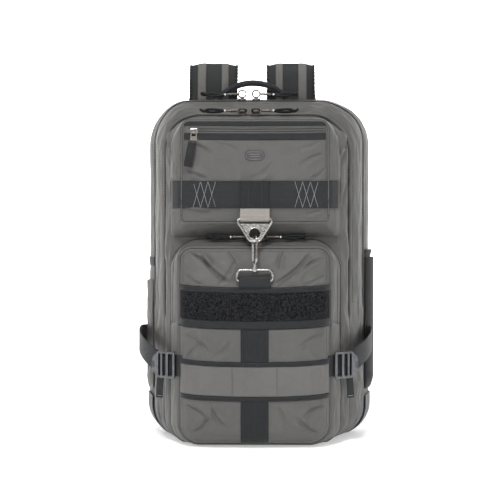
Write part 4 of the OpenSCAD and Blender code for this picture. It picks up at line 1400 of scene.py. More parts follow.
def build_ring():
    place = Matrix.Translation(Vector((0, *RING_BAR))) @ Matrix.Rotation(RING_LEAN, 4, "X")
    rim = rounded_polygon([(-23, 0.0), (-23, -5), (-6.2, -32.2), (6.2, -32.2), (23, -5), (23, 0.0)],
                          [3.2, 6, 5.5, 5.5, 6, 3.2], steps=8)
    path = turned(place, resample_count([(x, 0, z) for x, z in rim + rim[:1]], 120)[:-1])
    finish_piece(join_meshes("ring_rim", [sweep(path, 1.85, sides=12, closed=True)], NICKEL), "triangle_ring", "nickel",
                 "triangle_ring")
    web = rounded_polygon([(-20.5, -7.2), (20.5, -7.2), (5.6, -31.8), (-5.6, -31.8)], [1.5, 1.5, 4, 4])
    face = Matrix.Translation(Vector((0, *RING_BAR)) * MM) @ Matrix.Rotation(RING_LEAN + math.radians(90), 4, "X")
    body = plate("ring_plate", [web, circle(0, -21, 8.3, 40)], 1.5, 0.4, NICKEL, face)
    finish_piece(body, "triangle_ring", "nickel")
    eye = turned(place, [(8.5 * math.cos(a), -0.0, -21 + 8.5 * math.sin(a)) for a in np.linspace(0, 2 * math.pi, 48, False)])
    finish_piece(join_meshes("ring_eye", [sweep(eye, 1.05, sides=10, closed=True)], NICKEL), "triangle_ring", "nickel")

    # Taupe webbing folded round the ring's bar, its ends sewn under the band's patch
    y0, z0 = RING_BAR
    r = 3.1
    loop = [(-94.6, 331), (-95.6, 327.5), (-99.6, 322.5), (y0 - r - 0.3, z0 + 2)]
    loop += [(y0 + r * math.cos(a), z0 + r * math.sin(a)) for a in np.linspace(math.pi, 2 * math.pi, 12)]
    loop += [(y0 + r + 0.3, z0 + 2), (-96.4, 321), (-93.6, 327), (-92.6, 331)]
    path = resample([(0, y, z) for y, z in smooth_path([(0, y, z) for y, z in loop], 4)[:, 1:]], 0.9)
    finish_piece(join_meshes("ring_loop_webbing", [ribbon(path, (1, 0, 0), 40.5, 1.4)], TAUPE), "front_section",
                 "taupe_webbing", "ring_loop")
    row = resample([(-19, -105.3, 315.8), (19, -105.3, 315.8)], 1.0)
    down = np.tile([0.0, -1.0, 0.0], (len(row), 1))
    finish_piece(join_meshes("ring_loop_stitches", stitch_parts(row, down, 2.0, 2.8, 0.26), THREAD_GREY), "front_section",
                 "taupe_webbing")


def build_hook_base():
    """Rectangular loop of bent wire with the swivel's socket on its upper bar."""
    place = Matrix.Translation(Vector((0, *BASE_BAR))) @ Matrix.Rotation(-HOOK_TILT, 4, "X")
    wire = rounded_polygon([(-24.6, 0), (24.6, 0), (23.4, 15), (-23.4, 15)], [3.5, 3.5, 5.5, 5.5], steps=8)
    path = turned(place, resample_count([(x, 0, z) for x, z in wire + wire[:1]], 140)[:-1])
    collar = [(0, 0, z) for z in (11.6, 12.2, 14.0, 16.2, 18.2, 19.6, 20.2)]
    radii = [2.2, 2.9, 3.5, 3.4, 2.9, 3.2, 2.4]
    parts = [sweep(path, 1.75, sides=12, closed=True), sweep(turned(place, collar), radii, sides=24)]
    rim = [(3.0 * math.cos(a), 3.0 * math.sin(a), 18.9) for a in np.linspace(0, 2 * math.pi, 32, False)]
    parts.append(sweep(turned(place, rim), 0.6, sides=8, closed=True))
    finish_piece(join_meshes("hook_loop_wire", parts, NICKEL), "hook_base", "nickel", "hook_base")


def build_hook_webbing():
    """Black webbing rolled round the lower bar of the hook's loop and sewn under the top strip."""
    y0, z0 = BASE_BAR
    r = 3.3
    low_front, low_back = (-124.9, 219.5), (-121.9, 219.5)
    loop = [low_front, (-127.6, 222), (y0 - r, z0 - 3)]
    loop += [(y0 - r * math.cos(a), z0 + 1.9 * r * math.sin(a)) for a in np.linspace(0, math.pi, 14)]
    loop += [(y0 + r, z0 - 3), (-121.4, 223.5), low_back]
    path = resample(smooth_path([(0, y, z) for y, z in loop], 4), 0.9)
    finish_piece(join_meshes("hook_webbing", [ribbon(path, (1, 0, 0), 43, 1.5)], BLACK_WEB), "front_section", "webbing",
                 "hook_web")


# ---------------------------------------------------------------------------
# Sliders and pulls
# ---------------------------------------------------------------------------

RING_R = 5.4
RING_UP = 3.5


def top_place(x, y, z, lean):
    a = math.radians(lean)
    return Matrix.Translation(Vector((x, y - 0.5 * math.sin(a), z + 0.5 * math.cos(a)))) @ Matrix.Rotation(a, 4, "X")


def rounded_box(cx, cy, cz, sx, sy, sz, r=0.5):
    """A small box with rounded edges as (verts, faces)."""
    bm = bmesh.new()
    bmesh.ops.create_cube(bm, size=1.0)
    for v in bm.verts:
        v.co = Vector((v.co.x * sx + cx, v.co.y * sy + cy, v.co.z * sz + cz))
    bmesh.ops.bevel(bm, geom=bm.edges[:], offset=r, segments=2, profile=0.5, affect="EDGES")
    verts = [tuple(v.co) for v in bm.verts]
    faces = [tuple(v.index for v in f.verts) for f in bm.faces]
    bm.free()
    return np.array(verts), faces


def build_slider(node, place, material):
    """Zip slider: a pinched body, its wedge-shaped lips and an arched bridge."""
    outline_pts = rounded_polygon([(-6.0, -3.0), (-2.4, -3.8), (6.0, -3.4), (6.0, 3.4), (-2.4, 3.8), (-6.0, 3.0)], 1.2)
    face = Matrix([[MM if i == j else 0 for j in range(4)] for i in range(4)])
    parts = []
    for z in (0.35, 1.65):
        ring = [(x, y, z) for x, y in outline_pts]
        n = len(ring)
        verts = np.array([(x * 0.94, y * 0.92, zz - 0.35) for x, y, zz in ring] + ring
                         + [(x * 0.94, y * 0.92, zz + 0.35) for x, y, zz in ring])
        faces = [f for f in grid_faces(3, n, wrap=True)] + [tuple(range(n))[::-1], tuple(2 * n + k for k in range(n))]
        parts.append((verts, faces))
    arch = [(-3.4, 0, 1.9), (-3.2, 0, 4.2), (-2.0, 0, 5.6), (0, 0, 6.0), (2.0, 0, 5.6), (3.2, 0, 4.2), (3.4, 0, 1.9)]
    arch = smooth_path([(x * 0.5, y, z) for x, y, z in arch], 5)
    parts.append(ribbon(arch, (0, 1, 0), 3.0, 0.9, cols=4))
    parts.append(rounded_box(0, 0, 1.0, 9.0, 2.4, 1.6, 0.4))
    parts = [(turned(place, v), f) for v, f in parts]
    finish_piece(join_meshes(node + "_body", parts, material), node, "nickel", node)


def build_pull(node, place, tip, mirrored, droop, seed):
    """Ring, metal link, pale crimp and a knotted loop of cord."""
    side = 1 if mirrored else -1
    hub = place @ Matrix.Translation(Vector((0, 0, RING_UP))) @ Matrix.Rotation(math.radians(tip), 4, "X") \
        @ Matrix.Translation(Vector((0, 0, RING_R)))
    local = random.Random(seed)
    ring = [(RING_R * math.cos(a), 0, RING_R * math.sin(a)) for a in np.linspace(0, 2 * math.pi, 40, False)]
    finish_piece(join_meshes(node + "_ring", [sweep(turned(hub, ring), 1.15, sides=10, closed=True, up=(0, 1, 0))], BRONZE),
                 node, "nickel", node)
    link = []
    for k in range(9):
        x = side * (RING_R + 1.2 + 15.5 * k / 8)
        swell = 0.25 * math.sin(k * 2.4)
        link.append((x, 0.2 * math.cos(k * 1.7), -droop * 0.12 * k / 8 + 0.0 * swell))
    path = smooth_path(turned(hub, link), 4)
    radii = 2.15 + 0.3 * np.sin(np.arange(len(path)) * 1.35) + np.array([0.12 * local.random() for _ in path])
    eye = [(side * (RING_R + 1.0 + 1.9 * math.cos(a)), 1.7 * math.sin(a), 0.2) for a in np.linspace(0, 2 * math.pi, 20, False)]
    finish_piece(join_meshes(node + "_link", [sweep(path, radii, sides=10, flat=0.8),
                                              sweep(turned(hub, eye), 0.75, sides=8, closed=True)], NICKEL_DARK), node, "nickel")
    x0 = side * (RING_R + 18.2)
    crimp = [(x0, 0, -droop * 0.14), (x0 + side * 2.0, 0, -droop * 0.18), (x0 + side * 3.6, 0, -droop * 0.22)]
    finish_piece(join_meshes(node + "_crimp", [sweep(turned(hub, resample(crimp, 0.7)), 1.75, sides=12, flat=0.9)], CRIMP),
                 node, "pull_cord")

    def cord(points, r):
        return sweep(resample(smooth_path(turned(hub, points), 8), 0.8), r, sides=8, up=(0, 1, 0))

    x1 = x0 + side * 3.4
    strand = []
    for spread in (-1, 1):
        strand.append([(x1, spread * 0.8, -droop * 0.22), (x1 + side * 8, spread * 1.3, -droop * 0.3 + spread * 1.1),
                       (x1 + side * 17, spread * 1.5, -droop * 0.2 + spread * 1.5), (x1 + side * 24, spread * 1.0, spread * 1.1)])
    knot = [(x1 + side * 24, -0.6, -0.9), (x1 + side * 27, -1.7, 0.6), (x1 + side * 30.5, 0.2, 1.5), (x1 + side * 31.6, 1.6, 0.0),
            (x1 + side * 29.5, 1.2, -1.5), (x1 + side * 26.5, -0.6, -1.3), (x1 + side * 25.0, 0.9, 0.8)]
    parts = [cord(s, 1.75) for s in strand] + [cord(knot, 1.9)]
    parts.append(cord([(x1 - side * 1.5, 0, -droop * 0.22), (x1 + side * 1.5, 0, -droop * 0.24)], 1.9))
    finish_piece(join_meshes(node + "_cord", parts, PULL_CORD), node, "pull_cord")


def build_sliders():
    for node, place, tip in (
        ("main", lambda x: top_place(x, MAIN_ZIP_Y, TOP_Z - 2, 14), 0),
        ("second", lambda x: top_place(x, SECOND_ZIP_Y, TOP_Z - 26, 23), 40),
        ("lower", lambda x: top_place(x, -80, 279.2, 14.5), 0),
    ):
        xs = {"main": (-19, 1), "second": (-18, 1), "lower": (-9, 11)}[node]
        for k, side in enumerate(("left", "right")):
            build_slider(f"{node}_slider_{side}", place(xs[k]), NICKEL_DARK)
            build_pull(f"{node}_pull_{side}", place(xs[k]), tip, side == "right", {"main": 6, "second": 2, "lower": 3}[node],
                       len(node) * 7 + k)

    # Upper pocket's slider and its hanging pull
    x, z, y = -84.0, 434.0, -93.6
    lie = Matrix.Translation(Vector((x, y, z))) @ Matrix.Rotation(math.radians(90), 4, "X")
    build_slider("upper_slider", lie, NICKEL_DARK)
    pivot = (-96.5, 432.5)
    frame_pts = rounded_polygon([(-4.2, 1.6), (4.2, 1.6), (4.9, -12.2), (-4.9, -12.2)], [2.5, 2.5, 1.4, 1.4])
    window = rounded_polygon([(-2.5, -0.2), (2.5, -0.2), (2.9, -6.2), (-2.9, -6.2)], 1.0)
    lie = Matrix.Translation(Vector((x, *pivot)) * MM) @ Matrix.Rotation(math.radians(90), 4, "X")
    lean = Matrix.Translation(Vector((x, *pivot))) @ Matrix.Rotation(math.radians(9), 4, "Y")
    finish_piece(plate("upper_pull_link", [frame_pts, window], 1.7, 0.5, NICKEL_DARK, lie), "upper_pull", "nickel", "upper_pull")
    crimp, crimp_faces = rounded_box(0, -0.3, -13.6, 9.4, 3.2, 3.6, 0.7)
    band, band_faces = rounded_box(0, -0.3, -17.4, 11.0, 3.1, 1.5, 0.5)
    finish_piece(join_meshes("upper_pull_crimp", [(turned(lean, crimp), crimp_faces)], BLACK_PLASTIC), "upper_pull", "pull_cord")
    finish_piece(join_meshes("upper_pull_binding", [(turned(lean, band), band_faces)], THREAD_LIGHT), "upper_pull", "pull_cord")
    tab = [(0, -0.2, -15.0), (-0.2, -1.9, -24), (-0.6, -3.2, -36), (-0.8, -3.0, -48.4)]
    tab = resample(turned(lean, smooth_path(tab, 8)), 1.0)
    across = turned(lean, [(1, 0, 0)])[0] - turned(lean, [(0, 0, 0)])[0]
    plies = [ribbon(tab + np.array([0, dy, 0]), across, 11.0, 1.3) for dy in (-0.7, 0.8)]
    finish_piece(join_meshes("upper_pull_tab", plies, BLACK_WEB_UP), "upper_pull", "pull_cord")


# ---------------------------------------------------------------------------
# Straps and handle
# ---------------------------------------------------------------------------

STRAP_X = 57.0
STRAP = [
    (0, 72.2, 424), (0, 73.6, 450), (0, 74.8, 480), (0, 76, 505), (0, 79.5, 522), (0, 87, 533), (0, 98, 538), (0, 109, 533),
    (0.5, 116, 520), (1.5, 120, 500), (6, 122.4, 460), (14, 123, 410), (22, 123, 360), (30, 122, 310), (37, 119, 260),
    (42, 114, 215),
]
SHOULDER_WEB = [(45, 109, 160), (49, 105, 138), (57, 96, 110), (67, 83, 82), (74, 70.4, 60)]


def strap_frame(side, step):
    """Middle line of a shoulder strap with its across and outward directions."""
    pts = [(side * (STRAP_X + x), y, z) for x, y, z in STRAP]
    p = resample(smooth_path(pts, 8), step)
    t = np.gradient(p, axis=0)
    t /= np.linalg.norm(t, axis=1, keepdims=True)
    across = np.tile([float(side), 0.0, 0.0], (len(p), 1))
    across -= t * np.sum(across * t, axis=1, keepdims=True)
    across /= np.linalg.norm(across, axis=1, keepdims=True)
    out = np.cross(t, across)
    out *= np.sign(np.sum(out[: len(out) // 5] * [0, -1, 0]))
    return p, across, out


def build_strap(side):
    """Padded shoulder strap: crowned cloth body, bound edges and two lighter stripes."""
    name = "left" if side < 0 else "right"
    p, across, out = strap_frame(side, 2.0)
    if out[3] @ np.array([0, -1, 0]) < 0:
        out = -out
    p[:, 0] -= STRAP_SHIFT * smooth(300, 470, p[:, 2])
    n = len(p)
    s = np.arange(n) * 2.0
    u = np.linspace(-1, 1, 29)
    crown = 3.3 * (1 - np.abs(u) ** 3.2)
    quilt = np.array([0.45 * math.exp(-((abs(x) - 0.86) / 0.05) ** 2) for x in u])
    wrinkle = fbm(np.column_stack([np.repeat(s, len(u)), np.tile(u * 35, n), np.zeros(n * len(u))]), (16, 40, 10), 2, side * 3.0)
    wrinkle = wrinkle.reshape(n, len(u))
    bend = np.exp(-((p[:, 2] - 528) / 16) ** 2)
    ends = np.minimum(1, np.minimum(np.arange(n), np.arange(n)[::-1]) / 4.0) ** 0.5
    w = 33.5 * np.ones(n)
    w[-26:] = np.linspace(33.5, 15.0, 26)
    top = p[:, None] + across[:, None] * (u * 1.0)[None, :, None] * w[:, None, None]
    lift = (0.7 + (crown - quilt)[None, :] * ends[:, None] + wrinkle * (0.5 + 1.3 * bend)[:, None] * (1 - np.abs(u) ** 6)[None, :])
    front = top + out[:, None] * lift[..., None]
    back = top - out[:, None] * lift[..., None] * 0.95
    ring = np.concatenate([front, back[:, ::-1]], axis=1)
    m = ring.shape[1]
    faces = [f[::-1] for f in grid_faces(n, m, wrap=True)]
    faces += [tuple(range(m)), tuple((n - 1) * m + k for k in range(m))[::-1]]
    body = new_object(f"shoulder_strap_{name}", ring.reshape(-1, 3), faces, STRAP_CLOTH)
    finish_piece(body, "pack", "webbing", f"shoulder_pad_{name}")

    # Bound edges, scalloped by their stitching
    edges = []
    for e in (-1, 1):
        line = p + across * (e * (w + 0.4))[:, None]
        line = resample(line, 0.9)
        radii = 1.35 + 0.85 * np.abs(np.sin(np.arange(len(line)) * 0.9 * math.pi / 5.6))
        edges.append(sweep(line, radii, sides=8, flat=1.15, up=(0, -1, 0.2)))
    finish_piece(join_meshes(f"strap_binding_{name}", edges, BLACK_TAPE), "pack", "webbing")

    # Lighter stripes on the outer face
    grids = []
    for lo, hi in ((0.33, 0.69), (-0.66, -0.36)):
        cols = np.linspace(lo, hi, 9)
        k = np.interp(cols, u, np.arange(len(u)))
        i = k.astype(int)
        f = (k - i)[None, :, None]
        grid = front[:, i] * (1 - f) + front[:, np.minimum(i + 1, len(u) - 1)] * f
        grid = grid[2:-24]
        normals = grid_normals(grid)
        if np.mean(normals[4, :, 1]) > 0:
            grid = grid[:, ::-1]
        grids.append(strip_solid(grid, 0.55, 0.2))
    finish_piece(join_meshes(f"strap_stripes_{name}", grids, STRIPE), "pack", "tape")


def build_handle():
    """Haul handle: webbing rolled into an arch and sewn along its underside."""
    half, rise, r = 58.0, 32.0, 4.3
    radius = (half ** 2 + rise ** 2) / (2 * rise)
    centre = 478 + rise - radius
    span = math.asin(half / radius)
    a = np.linspace(-span, span, 90)
    path = np.column_stack([radius * np.sin(a) - 4.0, np.full(90, 62.0), centre + radius * np.cos(a)])
    grow = 1.0 + 0.06 * np.cos(np.linspace(-1, 1, 90) * math.pi) - 0.25 * np.abs(np.linspace(-1, 1, 90)) ** 4
    finish_piece(join_meshes("handle_grip", [sweep(path, r * grow, sides=20, flat=0.92, up=(0, 1, 0))], BLACK_TAPE),
                 "haul_handle", "webbing", "haul_handle")
    seam = path + np.array([0, -2.6, 0]) - np.column_stack([np.sin(a), np.zeros(90), np.cos(a)]) * 3.4
    nrm = -np.column_stack([np.sin(a), np.full(90, 0.8), np.cos(a)])
    nrm /= np.linalg.norm(nrm, axis=1, keepdims=True)
    finish_piece(join_meshes("handle_stitches", stitch_parts(resample(seam, 1.0), resample_count(nrm, len(resample(seam, 1.0))),
                                                             2.2, 3.4, 0.28), DARK_THREAD_AND_SHADE), "haul_handle", "webbing")


# ---------------------------------------------------------------------------
# Side pockets, compression straps and their locks
# ---------------------------------------------------------------------------


def body_side(y, z):
    """Half width of the body at depth y and height z."""
    return float(half_width(body_section(y), np.array([z]))[0])


def side_grid(side, y0, y1, z0, z1, bulge, cols, rows, open_top=True, relief=0.0, seed=0.0):
    """Points of a patch pocket on the pack's side: gathered at its edges and open at the top."""
    ys, zs = np.linspace(y1, y0, cols), np.linspace(z0, z1, rows)
    grid = np.zeros((rows, cols, 3))
    for r, z in enumerate(zs):
        for c, y in enumerate(ys):
            across = math.sin(math.pi * (y - y0) / (y1 - y0)) ** 0.55 if y0 < y < y1 else 0.0
            rise = min(1.0, (z - z0) / 16.0) ** 0.6
            grid[r, c] = (body_side(y, z) + 0.9 + bulge * across * rise, y, z)
    flat = grid.reshape(-1, 3)
    grid[..., 0] += (relief * fbm(flat, (20, 14, 34), 3, seed)).reshape(rows, cols) * np.minimum(1, (grid[..., 0] - HALF_W) / 3 + 1)
    if side < 0:
        grid = grid[:, ::-1] * np.array([-1.0, 1.0, 1.0])
    return grid


def net(grid, hole):
    """A knitted net over a grid: each cell keeps its border and loses its middle."""
    rows, cols = grid.shape[:2]
    verts = [tuple(p) for p in grid.reshape(-1, 3)]
    faces = []
    for f in grid_faces(rows, cols):
        quad = np.array([verts[i] for i in f])
        centre = quad.mean(axis=0)
        start = len(verts)
        verts += [tuple(centre + (q - centre) * hole) for q in quad]
        faces += [(f[k], f[(k + 1) % 4], start + (k + 1) % 4, start + k) for k in range(4)]
    return verts, faces


def build_side_pockets():
    """Mesh pocket on the right, cloth pocket and webbing tab on the left, coated corners below."""
    grid = side_grid(1, 20.6, 58.4, 66, 256, 6.4, 40, 190)
    mesh_obj = new_object("mesh_pocket_net", *net(grid, 0.62), NET)
    thicken(mesh_obj, 0.6, even=False)
    finish_piece(mesh_obj, "pack", "mesh", "mesh_pocket")
    back = grid - grid_normals(grid) * 0.9
    finish_piece(closed_panel("mesh_pocket_lining", back, NET_BACK, 0.5), "pack", "mesh")
    hem = side_grid(1, 20.8, 58.2, 254, 267, 6.2, 40, 8)
    finish_piece(join_meshes("mesh_pocket_binding", [strip_solid(hem, 1.6, 0.2)], BLACK_TAPE), "pack", "webbing")
    lines = []
    for z in (256, 265):
        row = side_grid(1, 21, 58, z, z + 0.4, 6.3, 60, 2)[1]
        lines += stitch_parts(resample(row + np.array([2.0, 0, 0]), 1.0), np.tile([1.0, 0, 0], (len(resample(row, 1.0)), 1)), 2.0, 3.2, 0.26)
    finish_piece(join_meshes("mesh_pocket_stitches", lines, THREAD_GREY), "pack", "webbing")

    grid = side_grid(-1, 20.6, 58.4, 66, 222, 3.4, 50, 110, relief=1.6, seed=4.0)
    finish_piece(closed_panel("side_pocket_cloth", grid, NYLON, 1.2), "pack", "nylon", "side_pocket")
    hem = side_grid(-1, 20.8, 58.2, 212, 223, 3.8, 50, 8, relief=0.8, seed=4.0)
    finish_piece(join_meshes("side_pocket_hem", [strip_solid(hem, 0.9, 0.5)], NYLON), "pack", "nylon")
    row = side_grid(-1, 21, 58, 212.5, 213, 3.8, 60, 2)[1]
    path = resample(row + np.array([-1.9, 0, 0]), 1.0)
    finish_piece(join_meshes("side_pocket_stitches", stitch_parts(path, np.tile([-1.0, 0, 0], (len(path), 1)), 2.2, 3.3, 0.28),
                             DARK_THREAD_AND_SHADE), "pack", "nylon")

    tab = side_grid(-1, 17, 52, 243.5, 256.5, 1.2, 26, 12)
    fold = side_grid(-1, 20, 40, 244, 256, 2.4, 16, 12)
    finish_piece(join_meshes("side_webbing_tab", [strip_solid(tab, 1.5, 0.4), strip_solid(fold, 1.5, 1.4)], BLACK_WEB), "pack",
                 "webbing", "side_tab")

    # Coated patches that wrap the lower corners
    depths = np.linspace(58, 19.5, 20)
    parts, threads = [], []
    for side in (1, -1):
        rows = []
        for y in depths:
            o = outline(*body_section(y))
            half = len(o) // 2 + 1
            right = o[:half]
            keep = (right[:, 1] >= 3) & (right[:, 1] <= 62 - 0.12 * (58 - y)) & (right[:, 0] > 105)
            p = resample_count(np.column_stack([right[keep][:, 0], np.full(keep.sum(), y), right[keep][:, 1]]), 44)
            rows.append(p * np.array([side, 1, 1]))
        grid = np.array(rows)
        if side < 0:
            grid = grid[:, ::-1]
        grid = grid + grid_normals(grid) * 1.6
        if grid_normals(grid)[8, 20, 0] * side < 0:
            grid = grid[:, ::-1]
        parts.append(strip_solid(grid, 0.9, 0.9))
        top = np.array([r[np.argmax(r[:, 2])] for r in grid]) + np.array([side * 2.0, 0, -0.6])
        threads.append(sweep(resample(top, 1.5), 0.45, sides=6))
    finish_piece(join_meshes("corner_patch_cloth", parts, PATCH), "pack", "patch", "corner_patches")
    finish_piece(join_meshes("corner_patch_piping", threads, THREAD_LIGHT), "pack", "patch")


LOCK_BAR = (112.0, -98.0, 111.0)
LOCK_TURN = math.radians(39)
WRAP = [
    (130, -79.5, 96), (143, -67, 104), (156, -44, 113), (164, -18, 120), (167, 6, 124), (167.2, 26, 126),
    (167.2, 51, 126), (163.5, 59, 126), (153, 64.6, 126),
]


def ladder_frame(name, width, length, place, material, body, node, slot):
    """Ladder lock: a rounded frame with a lifted tab, and its two smooth bars."""
    half, tip = width / 2 + 3.2, length
    outer = rounded_polygon([(-2.4, -half), (length * 0.70, -half), (tip - 1.5, -half * 0.52), (tip, -half * 0.2), (tip, half * 0.2),
                             (tip - 1.5, half * 0.52), (length * 0.70, half), (-2.4, half)], [4, 5, 3, 3, 3, 3, 5, 4])
    inner = width / 2 - 0.2
    windows = [rounded_polygon([(x0, -inner), (x1, -inner), (x1, inner), (x0, inner)], 1.6)
               for x0, x1 in ((1.9, length * 0.25), (length * 0.36, length * 0.51), (length * 0.60, length * 0.70))]
    to_metres = Matrix.Diagonal((MM, MM, MM, 1))
    flat = Matrix.Identity(4)
    shape = plate(name + "_frame", [outer] + windows, 3.0, 0.9, material, flat)
    metres = place.copy()
    metres.translation = place.translation * MM
    shape.data.transform(metres)
    bars = []
    for x, r in ((0.0, 1.75), (length * 0.305, 1.9), (length * 0.555, 1.8)):
        bars.append(sweep(resample([(x, -inner - 1, 0.5), (x, inner + 1, 0.5)], 2), r, sides=12, flat=0.9))
    grip = [sweep(resample([(tip - 4.5 + k * 1.7, -5, 1.6), (tip - 4.5 + k * 1.7, 5, 1.6)], 2), 0.5, sides=6) for k in range(3)]
    parts = [(turned(place, v), f) for v, f in bars + grip]
    finish_piece(shape, body, slot, node)
    finish_piece(join_meshes(name + "_bars", parts, material), body, slot)
    del to_metres


def build_compression():
    """Side compression straps with their locks, woven through the bars, and the loose tails."""
    for side, word in ((1, "right"), (-1, "left")):
        mirror = Matrix.Diagonal((side, 1, 1, 1))
        axes = Matrix(((1, 0, 0, 0), (0, 0, -1, 0), (0, 1, 0, 0), (0, 0, 0, 1)))
        place = mirror @ Matrix.Translation(Vector(LOCK_BAR)) @ Matrix.Rotation(LOCK_TURN, 4, "Z") @ axes
        body = f"ladder_lock_{word}"
        ladder_frame(f"compression_lock_{word}", 31, 40, place, GUNMETAL, body, body, "lock_metal")

        # From the pocket's seam round the first bar
        wrap = [(-16, 0, 0.6), (-10, 0, -0.6), (-4, 0, -2.4), (2, 0, -3.1), (7.5, 0, -2.9), (9.4, 0, -3.6), (6, 0, -4.6), (-3, 0, -4.3),
                (-12, 0, -2.4), (-16, 0, -1.0)]
        path = resample(turned(place, smooth_path(wrap, 6)), 0.9)
        finish_piece(join_meshes(f"lock_anchor_{word}", [ribbon(path, (0, 0, 1), 29.5, 1.3)], BLACK_WEB_UP), "pack", "webbing")

        # The adjustable strap: up through the lock, over the middle bar and down again
        weave_path = [(27, 0, -2.9), (22, 0, -2.6), (16.6, 0, -2.5), (12, 0, -2.6), (9.6, 0, -3.4), (12, 0, -4.2), (20, 0, -4.0)]
        path = resample(turned(place, smooth_path(weave_path, 6)), 0.9)
        finish_piece(join_meshes(f"lock_webbing_{word}", [ribbon(path, (0, 0, 1), 29.5, 1.3)], BLACK_WEB), body, "webbing")
        start = turned(place, [(24, 0, -2.5)])[0]
        run = [start + np.array([0, 0, -15]), *[np.array([side * x, y, z]) for x, y, z in WRAP[1:]]]
        line = smooth_path([p + np.array([0, 0, 15]) for p in run], 10)
        line = resample(line, 1.6)
        strap = join_meshes(f"compression_strap_{word}", [ribbon(line, (0, 0, 1), 29.5, 1.4)], BLACK_WEB)
        if side > 0:
            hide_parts("compression_webs")
        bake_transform(strap)

        # Loose tail that hangs below the lock
        tail = [(24, -4, -5.0), (28, -14, -5.2), (30, -26, -4.8), (30.5, -38, -4.2), (30.5, -47, -3.8)]
        path = resample(turned(place, smooth_path(tail, 8)), 1.0)
        across = turned(place, [(1, 0, 0)])[0] - turned(place, [(0, 0, 0)])[0]
        finish_piece(join_meshes(f"lock_tail_{word}", [ribbon(path, across, 12, 1.3)], BLACK_WEB), body, "webbing")
        end = path[-1]
        stitch = resample([end - across * 5.5 + np.array([0, 0, 3.0]), end + across * 5.5 + np.array([0, 0, 3.0])], 1.0)
        out = turned(place, [(0, 0, 1)])[0] - turned(place, [(0, 0, 0)])[0]
        finish_piece(join_meshes(f"lock_tail_stitches_{word}", stitch_parts(stitch + out * 0.9, np.tile(out, (len(stitch), 1)), 2.4, 2.9, 0.35),
                                 THREAD_LIGHT), body, "webbing")


# ---------------------------------------------------------------------------
# Back of the pack
# ---------------------------------------------------------------------------


def pad_solid(pts, y0, y1, name):
    """A flat slab between two depths, as the start of a cushion."""
    n = len(pts)
    verts = [(x, y0, z) for x, z in pts] + [(x, y1, z) for x, z in pts]
    faces = [tuple(range(n)), tuple(2 * n - 1 - k for k in range(n))]
    faces += [(i, n + i, n + (i + 1) % n, (i + 1) % n) for i in range(n)]
    obj = new_object(name, verts, faces, None, smooth_shade=False)
    bm = bmesh.new()
    bm.from_mesh(obj.data)
    bmesh.ops.recalc_face_normals(bm, faces=bm.faces)
    bm.to_mesh(obj.data)
    bm.free()
    return obj


def inflate(obj, cap, voxel=5.0, frames=20, pressure=4.0):
    """Swells a closed shape as sewn cloth under pressure, and keeps the result in its mesh."""
    remesh = obj.modifiers.new("remesh", "REMESH")
    remesh.mode = "VOXEL"
    remesh.voxel_size = voxel * MM
    apply_modifiers(obj)
    rest = np.array([v.co for v in obj.data.vertices])
    cloth = obj.modifiers.new("cloth", "CLOTH")
    cloth.settings.quality = 5
    cloth.settings.mass = 0.2
    cloth.settings.use_pressure = True
    cloth.settings.uniform_pressure_force = pressure
    cloth.settings.effector_weights.gravity = 0
    cloth.collision_settings.use_collision = False
    cloth.point_cache.frame_start, cloth.point_cache.frame_end = 1, frames
    for f in range(1, frames + 1):
        bpy.context.scene.frame_set(f)
    apply_modifiers(obj)
    bpy.context.scene.frame_set(1)
    moved = np.array([v.co for v in obj.data.vertices])
    step = moved - rest
    length = np.linalg.norm(step, axis=1, keepdims=True)
    step *= np.minimum(1, cap * MM / np.maximum(length, 1e-9))
    for v, p in zip(obj.data.vertices, rest + step):
        v.co = p
    sub = obj.modifiers.new("finer", "SUBSURF")
    sub.levels = sub.render_levels = 1
    apply_modifiers(obj)
    obj.data.polygons.foreach_set("use_smooth", [True] * len(obj.data.polygons))
    return obj


